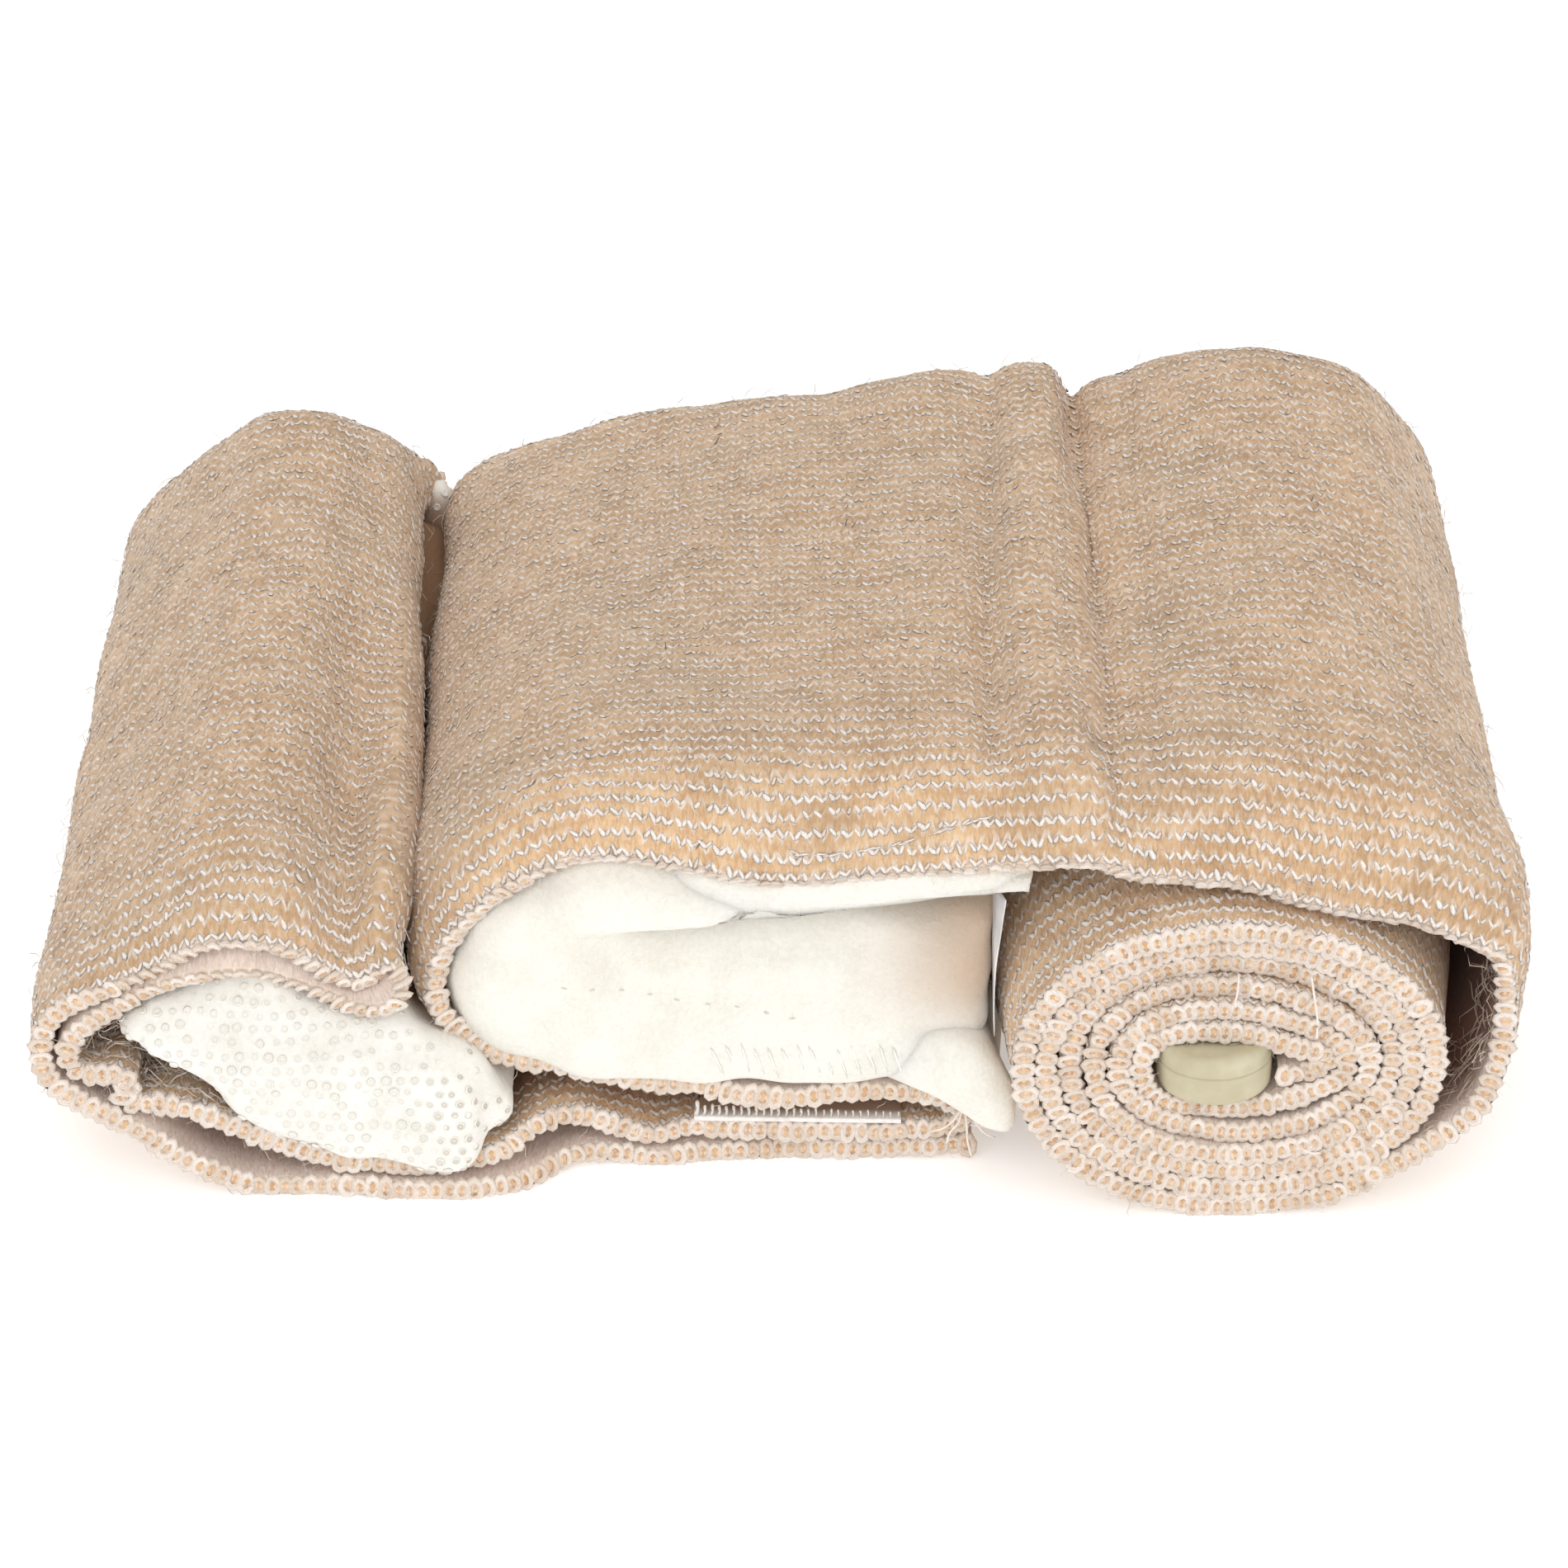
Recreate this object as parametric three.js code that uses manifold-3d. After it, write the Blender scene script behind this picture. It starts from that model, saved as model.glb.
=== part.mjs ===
// Emergency pressure bandage, folded for its pouch: one knitted elastic strip, rolled round a closure bar
// at the right, folded over a fleece pad in the middle and round a film-faced pad at the left.
// Millimetres, +Z up. X runs along the bundle from left to right, and Y runs into depth, so the front
// selvedges face -Y.
// Origin: the middle of the footprint, on the surface that the bandage rests on.
import * as THREE from "three";
import { mergeVertices } from "three/addons/utils/BufferGeometryUtils.js";
import Module from "manifold-3d";

const wasm = await Module();
wasm.setup();

// Driving dimensions
const stripWidth = 100; // selvedge to selvedge, laid flat
const cloth = 1.8; // thickness of the knitted elastic
const gap = 0.35; // clear space round the closure bar
const stripStep = 3.1; // longest step between two rows of the strip
const restBand = 0.3; // cloth that comes this near the surface lies flat on it
const footprintShift = { x: 0, y: -1.2 }; // brings the middle of the footprint to the origin

// How the folded cloth bends down at its selvedges
const bends = {
  backLap: 0.6, // the back selvedges bend in a tighter arc than the front ones
  give: 0.45, // share of a bend's extra length that draws the cloth in; the elastic gives for the rest
  flareEnds: [0.06, 0.25], // shares of the width between which a loop loses its flare
  flareLost: 0.5,
};

// The roll: an oval spiral, wound anticlockwise as seen from the front, that leaves at its lower right
const roll = {
  turns: 6,
  exitAngle: -Math.PI / 4,
  centre: { x: 40.3, z: 15.2 },
  rightRadius: 23.0, // outer radius along X where the last turn ends
  topRadius: 15.6, // outer radius along Z where the last turn ends
  pitchX: 2.15,
  pitchZ: 1.93,
  front: -53,
  hubRecess: 1.4, // the first turns lie deeper than the last
  grooveDepth: 0.9,
  swell: 0.22, // share by which the height grows away from the selvedges
  rimInset: 0.1, // share by which the faces are narrower than the middle
  lap: 22,
  stepsPerTurn: 28,
};

// The closure bar: a flat moulded bar with half-round ends
const bar = {
  width: 10.4,
  thick: 4.8,
  length: 104,
  centreX: 38.6,
  centreZ: 14.9,
  front: -54.4,
  edge: 0.5,
  tilt: 0.02, // radians, right end up
};

// The hook strip lies on the cloth under the pad, hooks up. bottom is where its left end lies, and its
// right end, where the hooks are flatter, lies lower by drop.
const hookStrip = {
  left: -8.2,
  right: 10.7,
  front: -44.4,
  length: 84,
  bottom: 4.85,
  drop: 0.3,
  tall: 1.4, // height at the left end
  low: 1.1, // height at the right end
};

// The pads: their widths laid flat, how far their ends draw in, and the longest step between two rows
const pads = { fleeceWidth: 92, filmFacedWidth: 97, drawnIn: 0.6, step: 6 };

// The clear film's upright edge
const film = { width: 84, thick: 0.5, step: 3.5 };

// Stations across the strip, as shares of its width, closer together where the cloth bends down at its
// selvedges
const stations = [0, 0.03, 0.08, 0.16, 0.3, 0.5, 0.7, 0.84, 0.92, 0.97, 1];

// Each table has a row for each bend of the cloth's middle line, as it lies at the front selvedge.
// x and z place it, and lead is the selvedge's Y. front and back are how far the cloth rises between its
// selvedges, near the front and near the back. bulge is how far it moves along X there. lap is the depth
// of the bend at a selvedge.
const columns = ["x", "z", "lead", "front", "back", "bulge", "lap"];

// Shares of the last turn, before its end, at which the strip's first rows lie
const leaveRollAt = [0.2, 0.1, 0.02];

const loopAndCover = [
  [61.2, 9.8, -52.0, 0, 0, 0.8, 14],
  [63.0, 13.4, -51.0, 0, 0, 1.7, 14],
  [63.8, 18.0, -50.0, 0, 0, 2.4, 14],
  [64.2, 22.0, -48.8, 1.4, 1.6, 2.5, 14],
  [63.7, 24.1, -48.2, 3.4, 4.2, 2.4, 14],
  [60.8, 25.6, -48.0, 6.0, 7.8, 2.4, 14],
  [56.8, 27.3, -47.8, 8.2, 11.4, 2.2, 13],
  [52.0, 28.2, -47.6, 9.6, 13.2, 1.4, 13],
  [46.0, 29.6, -47.6, 9.8, 12.5, 0.4, 13],
  [40.0, 31.3, -47.6, 8.4, 9.1, 0, 13],
  [35.0, 31.6, -47.5, 7.6, 6.4, 0, 13],
  [31.4, 31.8, -47.3, 6.3, 4.0, 0, 13],
  [29.2, 32.5, -47.1, 5.3, 1.6, 0, 13],
  [27.2, 33.0, -46.9, 7.2, 4.9, 0, 13],
  [23.2, 32.8, -46.6, 7.3, 4.9, 0, 13],
  [19.6, 32.4, -46.4, 6.2, 4.1, 0, 13],
  [15.0, 32.0, -46.2, 7.6, 4.8, 0, 13],
  [7.5, 31.2, -46.0, 8.4, 4.4, 0, 13],
  [0.0, 30.6, -46.0, 9.0, 4.2, 0, 13],
  [-8.5, 31.9, -46.0, 7.6, 1.0, 0, 13],
  [-15.5, 33.1, -46.0, 5.8, -2.4, 0, 13],
  [-20.5, 32.3, -46.0, 5.2, -3.0, -0.6, 13],
];

const middleSideAndUnderPad = [
  [-24.6, 29.8, -46.0, 4.6, -2.0, -1.6, 13],
  [-27.8, 26.9, -46.0, 3.8, -1.0, -2.3, 13],
  [-30.0, 23.8, -46.0, 2.6, -0.4, -2.7, 13],
  [-30.8, 20.6, -46.0, 1.2, 0.2, -2.9, 13],
  [-30.2, 17.8, -46.0, 0, 0, -2.7, 13],
  [-28.0, 15.0, -46.0, 0, 0, -1.9, 13],
  [-24.0, 12.6, -46.0, 0, 0, -0.8, 13],
  [-18.0, 10.8, -46.0, 0, 0, 0, 12],
  [-10.0, 9.6, -46.0, 0, 0, 0, 12],
  [-3.0, 8.7, -46.0, 0, 0, 0, 12],
  [1.0, 8.3, -46.0, 0, 0, 0, 12],
  [5.0, 8.7, -45.8, 0, 0, 0, 12],
  [9.4, 8.5, -45.6, 0, 0, 0, 12],
  [13.0, 7.6, -45.2, 0, 0, 0, 12],
  [15.6, 6.5, -44.8, 0, 0, 0, 12],
  [16.7, 5.1, -44.5, 0, 0, 0, 12],
  [15.4, 3.9, -44.3, 0, 0, 0, 12],
];

const innerBottomOfLeft = [
  [11.0, 3.5, -44.0, 0, 0, 0, 12],
  [4.0, 3.4, -44.0, 0, 0, 0, 12],
  [-4.0, 3.5, -44.0, 0, 0, 0, 12],
  [-8.8, 3.6, -44.0, 0, 0, 0, 12],
  [-11.8, 3.4, -44.2, 0, 0, 0, 12],
  [-15.2, 4.6, -44.6, 0, 0, 0, 12],
  [-19.6, 6.0, -45.6, 0, 0, 0, 12],
  [-22.8, 5.6, -47.4, 0, 0, 0, 12],
  [-25.6, 4.0, -48.8, 0, 0, 0, 12],
  [-29.5, 3.15, -49.0, 0, 0, 0, 12],
  [-37.0, 3.2, -49.0, 0, 0, 0, 12],
  [-41.5, 4.1, -49.0, 0, 0, 0, 12],
  [-46.0, 5.5, -49.0, 0, 0, 0, 12],
  [-50.5, 7.2, -49.0, 0, 0, 0, 12],
  [-54.0, 9.4, -49.0, 0, 0, 0, 12],
  [-57.0, 10.2, -49.0, 0, 0, 0, 12],
  [-59.8, 11.0, -49.0, 0, 0, 0, 12],
  [-62.2, 12.5, -49.0, 0, 0, 0, 12],
];

const innerTopOfLeft = [
  [-64.0, 14.6, -49.0, 0.4, 0.5, 0, 14],
  [-62.8, 16.9, -49.0, 1.4, 2.6, 0, 14],
  [-59.5, 19.0, -49.0, 2.8, 5.4, 0, 14],
  [-56.0, 20.9, -49.0, 4.0, 7.4, 0, 14],
  [-52.0, 22.5, -49.0, 4.9, 8.0, 0, 14],
  [-48.0, 22.9, -49.0, 5.3, 8.3, 0, 14],
  [-44.2, 22.0, -49.0, 4.9, 8.6, -0.4, 14],
  [-41.0, 20.5, -49.0, 4.1, 9.0, -1.0, 14],
  [-38.2, 19.3, -49.2, 3.6, 7.4, -1.6, 14],
  [-35.6, 19.3, -49.4, 3.6, 4.4, -2.0, 14],
];

const outerLeft = [
  [-33.9, 20.6, -49.5, 4.0, 2.4, -2.8, 14],
  [-33.9, 22.6, -49.5, 4.6, 2.4, -2.8, 14],
  [-35.0, 23.9, -49.5, 5.0, 4.0, -2.7, 14],
  [-36.2, 22.9, -49.5, 4.4, 6.6, -2.4, 14],
  [-38.0, 22.0, -49.5, 3.8, 9.2, -1.7, 14],
  [-40.6, 22.9, -49.5, 4.4, 10.2, -1.1, 14],
  [-44.0, 25.2, -49.5, 5.2, 9.0, -0.4, 14],
  [-48.0, 26.2, -49.5, 5.6, 8.4, 0, 14],
  [-52.0, 25.8, -49.5, 5.2, 8.2, 0, 14],
  [-56.0, 24.2, -49.5, 4.4, 7.8, 0, 14],
  [-60.0, 22.3, -49.5, 3.2, 6.4, 0, 14],
  [-63.6, 20.3, -49.5, 1.8, 4.2, 0, 14],
  [-66.0, 17.6, -49.5, 0.8, 2.0, -0.5, 14],
  [-66.5, 14.6, -49.5, 0, 0, -0.5, 14],
  [-65.8, 12.0, -49.5, 0, 0, -0.2, 14],
  [-63.6, 9.8, -49.5, 0, 0, 0, 14],
  [-60.4, 7.8, -49.5, 0, 0, 0, 14],
  [-56.8, 5.3, -49.5, 0, 0, 0, 14],
  [-53.2, 2.8, -49.5, 0, 0, 0, 14],
  [-49.6, 1.4, -49.5, 0, 0, 0, 14],
];

const outerBottomToCutEnd = [
  [-45.5, 0.9, -49.5, 0, 0, 0, 12],
  [-38.0, 0.9, -49.5, 0, 0, 0, 12],
  [-27.0, 0.9, -49.5, 0, 0, 0, 12],
  [-23.0, 0.9, -48.4, 0, 0, 0, 12],
  [-19.8, 1.0, -45.4, 0, 0, 0, 12],
  [-15.0, 1.1, -44.2, 0, 0, 0, 12],
  [-11.0, 0.9, -44.4, 0, 0, 0, 12],
  [-7.2, 1.1, -43.4, 0, 0, 0, 12],
  [0.0, 0.95, -43.2, 0, 0, 0, 12],
  [9.0, 1.0, -43.2, 0, 0, 0, 12],
  [14.0, 1.3, -43.4, 0, 0, 0, 12],
  [17.2, 1.7, -43.6, 0, 0, 0, 12],
];

// The film's edge stands between the pad and the roll, and follows the roll.
const filmEdge = [
  [17.3, 14.2, -45.0, 0, 0, -0.1, 12],
  [17.2, 17.5, -45.0, 0, 0, -0.1, 12],
  [17.4, 21.0, -45.0, 0.4, 0.4, -0.1, 12],
  [18.2, 24.5, -45.0, 1.6, 0.8, -0.2, 12],
  [19.5, 27.6, -45.0, 3.0, 1.6, -0.4, 12],
];

// The pads' outlines as seen from the front, anticlockwise, with the same columns.
// The fleece pad: a thin flap on top, the body under it, and a lower layer that runs out under the body
// at the right.
const fleeceOutline = [
  [22.4, 31.0, -45.2, 5.6, 3.6, 0, 13],
  [14.8, 30.7, -45.2, 6.2, 3.2, 0, 13],
  [7.5, 29.9, -45.0, 7.8, 3.6, 0, 13],
  [0.0, 29.4, -44.9, 8.5, 3.5, 0, 13],
  [-8.5, 30.6, -44.9, 7.3, 0.5, 0, 13],
  [-15.2, 31.6, -44.9, 5.6, -2.8, 0, 13],
  [-19.8, 30.9, -44.9, 5.0, -3.4, -0.5, 13],
  [-23.5, 28.7, -44.9, 4.4, -2.6, -1.4, 13],
  [-26.6, 26.0, -44.9, 3.5, -1.8, -2.0, 13],
  [-28.6, 23.3, -44.9, 2.4, -0.8, -2.4, 13],
  [-29.4, 20.6, -45.0, 1.1, 0.0, -2.6, 13],
  [-28.9, 18.4, -45.2, 0, 0, -2.4, 13],
  [-27.1, 16.2, -45.2, 0, 0, -1.6, 13],
  [-23.4, 13.9, -45.2, 0, 0, -0.6, 12],
  [-17.7, 12.2, -45.2, 0, 0, 0, 12],
  [-9.8, 11.0, -45.2, 0, 0, 0, 12],
  [-2.8, 10.1, -45.2, 0, 0, 0, 12],
  [1.0, 9.8, -45.2, 0, 0, 0, 12],
  [5.2, 10.2, -45.2, 0, 0, 0, 12],
  [9.8, 9.9, -45.4, 0, 0, 0, 12],
  [13.8, 8.8, -45.6, 0, 0, 0, 12],
  [16.6, 7.6, -45.8, 0, 0, 0, 12],
  [18.6, 6.2, -46.0, 0, 0, 0, 12],
  [20.3, 5.6, -46.2, 0, 0, -1.4, 12],
  [20.2, 7.6, -46.2, 0, 0, -2.0, 12],
  [18.8, 10.6, -46.2, 0, 0, -2.0, 12],
  [16.6, 12.6, -46.2, 0, 0, -0.8, 12],
  [13.4, 13.6, -46.0, 0, 0, 0, 12],
  [8.8, 13.4, -45.6, 0, 0, 0, 12],
  [3.0, 12.9, -45.4, 0, 0, 0, 12],
  [2.8, 13.6, -45.6, 0, 0, 0, 12],
  [8.6, 14.2, -46.0, 0, 0, 0, 12],
  [13.4, 14.6, -46.2, 0, 0, 0, 12],
  [15.8, 16.2, -46.2, 0, 0, 0.2, 12],
  [16.5, 20.4, -46.0, 1.0, 0.2, 0, 12],
  [16.5, 24.4, -45.8, 3.2, 1.6, 0, 13],
  [15.0, 27.0, -45.6, 5.8, 2.8, 0, 13],
  [10.0, 27.2, -45.6, 6.8, 3.0, 0, 13],
  [3.0, 26.8, -45.6, 7.4, 3.0, 0, 13],
  [-5.0, 26.5, -45.6, 7.0, 1.0, 0, 13],
  [-13.0, 26.0, -45.4, 5.6, -2.0, 0, 13],
  [-13.0, 26.6, -45.2, 5.6, -2.0, 0, 13],
  [-5.0, 27.1, -45.2, 7.0, 1.0, 0, 13],
  [3.0, 27.7, -45.2, 7.6, 3.1, 0, 13],
  [10.0, 28.2, -45.2, 7.0, 3.1, 0, 13],
  [16.0, 28.7, -45.2, 6.2, 3.2, 0, 13],
  [22.4, 29.8, -45.2, 5.4, 3.4, 0, 13],
];

// The film-faced pad: two thick layers, joined at the thin left end, with splayed right corners.
const filmPadOutline = [
  [-60.3, 16.9, -48.6, 1.6, 2.0, 0, 14],
  [-58.0, 16.2, -48.8, 1.6, 2.0, 0, 14],
  [-55.6, 14.6, -49.2, 1.0, 1.4, 0, 14],
  [-53.0, 11.8, -49.6, 0.4, 0.6, 0, 14],
  [-50.4, 9.0, -49.8, 0, 0, 0, 14],
  [-46.0, 7.2, -50.0, 0, 0, 0, 14],
  [-41.5, 5.7, -50.2, 0, 0, 0, 14],
  [-37.0, 4.7, -50.4, 0, 0, 0, 14],
  [-31.0, 4.6, -50.6, 0, 0, 0, 14],
  [-28.0, 5.2, -50.6, 0, 0, 0, 14],
  [-26.8, 7.0, -50.4, 0, 0, 0, 14],
  [-26.4, 8.8, -50.2, 0, 0, -0.4, 14],
  [-33.0, 10.0, -49.8, 0, 0, 0, 14],
  [-42.0, 10.6, -49.6, 0, 0, 0, 14],
  [-42.0, 11.2, -49.4, 0, 0, 0, 14],
  [-33.0, 10.6, -49.4, 0, 0, 0, 14],
  [-26.2, 9.4, -49.6, 0, 0, -0.4, 14],
  [-24.6, 8.4, -49.4, 0, 0, -0.6, 14],
  [-24.6, 9.8, -49.2, 0, 0, -1.0, 14],
  [-26.8, 11.6, -49.0, 0, 0, -1.6, 14],
  [-29.8, 13.6, -49.0, 0, 0, -2.2, 14],
  [-32.8, 16.0, -49.0, 0.4, 0.4, -2.4, 14],
  [-35.4, 17.6, -48.8, 2.8, 3.4, -2.2, 14],
  [-38.6, 17.7, -48.6, 3.4, 6.6, -1.4, 14],
  [-41.4, 18.8, -48.6, 4.0, 8.2, -0.9, 14],
  [-44.6, 20.3, -48.6, 4.7, 8.0, -0.4, 14],
  [-48.0, 21.2, -48.6, 5.1, 7.8, 0, 14],
  [-51.6, 20.8, -48.6, 4.7, 7.5, 0, 14],
  [-55.4, 19.2, -48.6, 3.9, 6.7, 0, 14],
  [-58.8, 17.5, -48.6, 2.6, 4.8, 0, 14],
];

const named = (row) => Object.fromEntries(columns.map((name, i) => [name, row[i]]));

// How much of its full rise the cloth has at a distance from the nearer selvedge: a quarter of an ellipse
function shoulder(distance, lap) {
  const t = Math.min(1, distance / lap);
  return Math.sqrt(1 - (1 - t) ** 2);
}

// How much of its bulge a loop keeps at a share of the strip's width: it flares near the front
function flareAt(share) {
  const [wide, narrow] = bends.flareEnds;
  const t = Math.min(1, Math.max(0, (share - wide) / (narrow - wide)));
  return 1 - bends.flareLost * t;
}

// Depth of cloth lost at one selvedge, where it bends down through an arc instead of lying flat
function bendLoss(lap, rise) {
  return (Math.PI / 2) * Math.sqrt((lap * lap + rise * rise) / 2) - lap;
}

// A row's point at a share of the strip's width. Where back is less than front, the cloth slopes down to
// the back.
function pointAt(row, share, width) {
  const backLap = row.lap * bends.backLap;
  const lostFront = bendLoss(row.lap, row.front) - bendLoss(row.lap, 0);
  const lostBack = bendLoss(backLap, Math.max(row.front, row.back)) - bendLoss(backLap, 0);
  const depth = width - bends.give * (lostFront + lostBack);
  const fromFront = share * depth;
  const s = Math.min(shoulder(fromFront, row.lap), shoulder(depth - fromFront, backLap));
  const tilt = Math.min(0, row.back - row.front);
  const rise = row.front + (row.back - row.front - tilt) * share;
  const swelling = row.bulge * s * (row.bulge > 0 ? flareAt(share) : 1);
  return new THREE.Vector3(row.x + swelling, row.lead + fromFront, row.z + rise * s + tilt * share);
}

// Extra rows between the table's rows, on a smooth curve, about a step apart
function smoothRows(rows, step, closed = false) {
  const places = rows.map((row) => new THREE.Vector3(row.x, 0, row.z));
  const curve = new THREE.CatmullRomCurve3(places, closed, "centripetal");
  const spans = closed ? rows.length : rows.length - 1;
  const out = [];
  for (let i = 0; i < spans; i += 1) {
    const a = rows[i];
    const b = rows[(i + 1) % rows.length];
    const pieces = Math.max(1, Math.round(Math.hypot(a.x - b.x, a.z - b.z) / step));
    for (let k = 0; k < pieces; k += 1) {
      const t = k / pieces;
      const place = curve.getPoint((i + t) / spans);
      const row = { x: place.x, z: place.z };
      for (const name of columns.slice(2)) row[name] = a[name] + (b[name] - a[name]) * t;
      out.push(row);
    }
  }
  if (!closed) out.push(rows.at(-1));
  return out;
}

function toManifold(geometry) {
  const bare = geometry.clone();
  bare.deleteAttribute("normal");
  bare.deleteAttribute("uv");
  const merged = mergeVertices(bare, 1e-4);
  return new wasm.Manifold(
    new wasm.Mesh({
      numProp: 3,
      vertProperties: new Float32Array(merged.attributes.position.array),
      triVerts: new Uint32Array(merged.index.array),
    }),
  );
}

function toGeometry(solid) {
  const mesh = solid.getMesh();
  const geometry = new THREE.BufferGeometry();
  geometry.setAttribute("position", new THREE.BufferAttribute(new Float32Array(mesh.vertProperties), 3));
  geometry.setIndex(new THREE.BufferAttribute(new Uint32Array(mesh.triVerts), 1));
  return geometry;
}

function geometryOf(points, triangles) {
  const geometry = new THREE.BufferGeometry();
  const flat = points.flatMap((p) => [p.x, p.y, p.z]);
  geometry.setAttribute("position", new THREE.Float32BufferAttribute(flat, 3));
  geometry.setIndex(triangles.flat());
  return geometry;
}

// A sheet of the cloth's thickness on a grid of middle points, grid[i][j] along the strip and across it
function sheetGeometry(grid, thickness) {
  const along = grid.length;
  const across = grid[0].length;
  const points = [];
  const side = (i, j, sign) => {
    const before = grid[Math.max(0, i - 1)][j];
    const after = grid[Math.min(along - 1, i + 1)][j];
    const near = grid[i][Math.max(0, j - 1)];
    const far = grid[i][Math.min(across - 1, j + 1)];
    const normal = after.clone().sub(before).cross(far.clone().sub(near)).normalize();
    const point = grid[i][j].clone().addScaledVector(normal, (sign * thickness) / 2);
    if (point.z < restBand) point.z = 0;
    return point;
  };
  for (const sign of [1, -1]) {
    for (let i = 0; i < along; i += 1) {
      for (let j = 0; j < across; j += 1) points.push(side(i, j, sign));
    }
  }
  const at = (layer, i, j) => layer * along * across + i * across + j;
  const triangles = [];
  const quad = (a, b, c, d) => triangles.push([a, b, c], [a, c, d]);
  for (let i = 0; i + 1 < along; i += 1) {
    for (let j = 0; j + 1 < across; j += 1) {
      quad(at(0, i, j), at(0, i + 1, j), at(0, i + 1, j + 1), at(0, i, j + 1));
      quad(at(1, i, j), at(1, i, j + 1), at(1, i + 1, j + 1), at(1, i + 1, j));
    }
    quad(at(0, i, 0), at(1, i, 0), at(1, i + 1, 0), at(0, i + 1, 0));
    quad(at(0, i, across - 1), at(0, i + 1, across - 1), at(1, i + 1, across - 1), at(1, i, across - 1));
  }
  for (let j = 0; j + 1 < across; j += 1) {
    quad(at(0, 0, j), at(0, 0, j + 1), at(1, 0, j + 1), at(1, 0, j));
    quad(at(0, along - 1, j), at(1, along - 1, j), at(1, along - 1, j + 1), at(0, along - 1, j + 1));
  }
  return geometryOf(points, triangles);
}

// A solid lofted through one closed outline, drawn in a little at its two ends
function loftGeometry(rows, width, drawnIn) {
  const rings = stations.map((share, j) => {
    const ring = rows.map((row) => pointAt(row, share, width));
    if (j > 0 && j + 1 < stations.length) return ring;
    return ring.map((point, i) => {
      const before = ring.at(i - 1);
      const after = ring[(i + 1) % ring.length];
      const inward = new THREE.Vector3(before.z - after.z, 0, after.x - before.x).normalize();
      return point.clone().addScaledVector(inward, drawnIn);
    });
  });
  const points = rings.flat();
  const n = rows.length;
  const triangles = [];
  for (let j = 0; j + 1 < rings.length; j += 1) {
    for (let i = 0; i < n; i += 1) {
      const k = (i + 1) % n;
      const [a, b, c, d] = [j * n + i, j * n + k, (j + 1) * n + k, (j + 1) * n + i];
      triangles.push([a, c, b], [a, d, c]);
    }
  }
  for (const j of [0, rings.length - 1]) {
    const outline = rings[j].map((p) => new THREE.Vector2(p.x, p.z));
    for (const [a, b, c] of THREE.ShapeUtils.triangulateShape(outline, [])) {
      triangles.push(j === 0 ? [a, b, c] : [j * n + a, j * n + c, j * n + b]);
    }
  }
  return geometryOf(points, triangles);
}

// A point on the roll's spiral after so many turns, at a number of pitches inside that turn's outer face
function spiralPoint(turn, inside) {
  const angle = roll.exitAngle + 2 * Math.PI * (turn - roll.turns);
  const left = roll.turns - turn + inside;
  const x = roll.centre.x + (roll.rightRadius - roll.pitchX * left) * Math.cos(angle);
  const z = roll.centre.z + (roll.topRadius - roll.pitchZ * left) * Math.sin(angle);
  return new THREE.Vector3(x, 0, z);
}

// The roll is lower and narrower at its faces than inside
function rollSwell(point, share) {
  const s = THREE.MathUtils.smoothstep(stripWidth * Math.min(share, 1 - share), 0, roll.lap);
  const x = roll.centre.x + (point.x - roll.centre.x) * (1 - roll.rimInset * (1 - s));
  const z = point.z * (1 + roll.swell * s);
  return new THREE.Vector3(x, roll.front + stripWidth * share, z < restBand ? 0 : z);
}

// The roll as one solid: both faces show the turns as ridges that follow the spiral
function rollGeometry() {
  const n = roll.stepsPerTurn;
  const last = n * roll.turns;
  const points = [];
  const triangles = [];
  const add = (p) => points.push(p) - 1;
  const quad = (a, b, c, d, turned) => {
    triangles.push(...(turned ? [[a, c, b], [a, d, c]] : [[a, b, c], [a, c, d]]));
  };
  const rims = [];
  for (const back of [false, true]) {
    const share = back ? 1 : 0;
    const place = (turn, inside, sunk) => {
      const p = rollSwell(spiralPoint(turn, inside), share);
      const depth = roll.hubRecess * (1 - turn / roll.turns) ** 2;
      p.y += (back ? -sunk : sunk) + depth;
      return add(p);
    };
    const ridge = [];
    const groove = [];
    for (let i = 0; i <= last; i += 1) {
      ridge.push(place(i / n, 0.5, 0));
      groove.push(place(i / n, 0, roll.grooveDepth));
    }
    const hubDepth = roll.front + roll.hubRecess + stripWidth * share;
    const hub = add(new THREE.Vector3(roll.centre.x, hubDepth, roll.centre.z));
    for (let i = 0; i < last; i += 1) {
      quad(ridge[i], groove[i], groove[i + 1], ridge[i + 1], back);
      if (i + n < last) quad(groove[i], ridge[i + n], ridge[i + n + 1], groove[i + 1], back);
    }
    const hubRim = [...ridge.slice(0, n + 1), groove[0]];
    hubRim.forEach((a, i) => {
      const b = hubRim[(i + 1) % hubRim.length];
      triangles.push(back ? [hub, b, a] : [hub, a, b]);
    });
    rims.push([...groove.slice(last - n), ridge[last]]);
  }
  const outer = rims[0].map((index) => points[index]);
  const rings = stations.slice(1, -1).map((share) => {
    return rims[0].map((_, i) => {
      const turn = roll.turns - 1 + Math.min(i, n) / n;
      return add(rollSwell(spiralPoint(turn, i > n ? 0.5 : 0), share));
    });
  });
  const all = [rims[0], ...rings, rims[1]];
  for (let j = 0; j + 1 < all.length; j += 1) {
    for (let i = 0; i < outer.length; i += 1) {
      const k = (i + 1) % outer.length;
      quad(all[j][i], all[j + 1][i], all[j + 1][k], all[j][k], false);
    }
  }
  return geometryOf(points, triangles);
}

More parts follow.
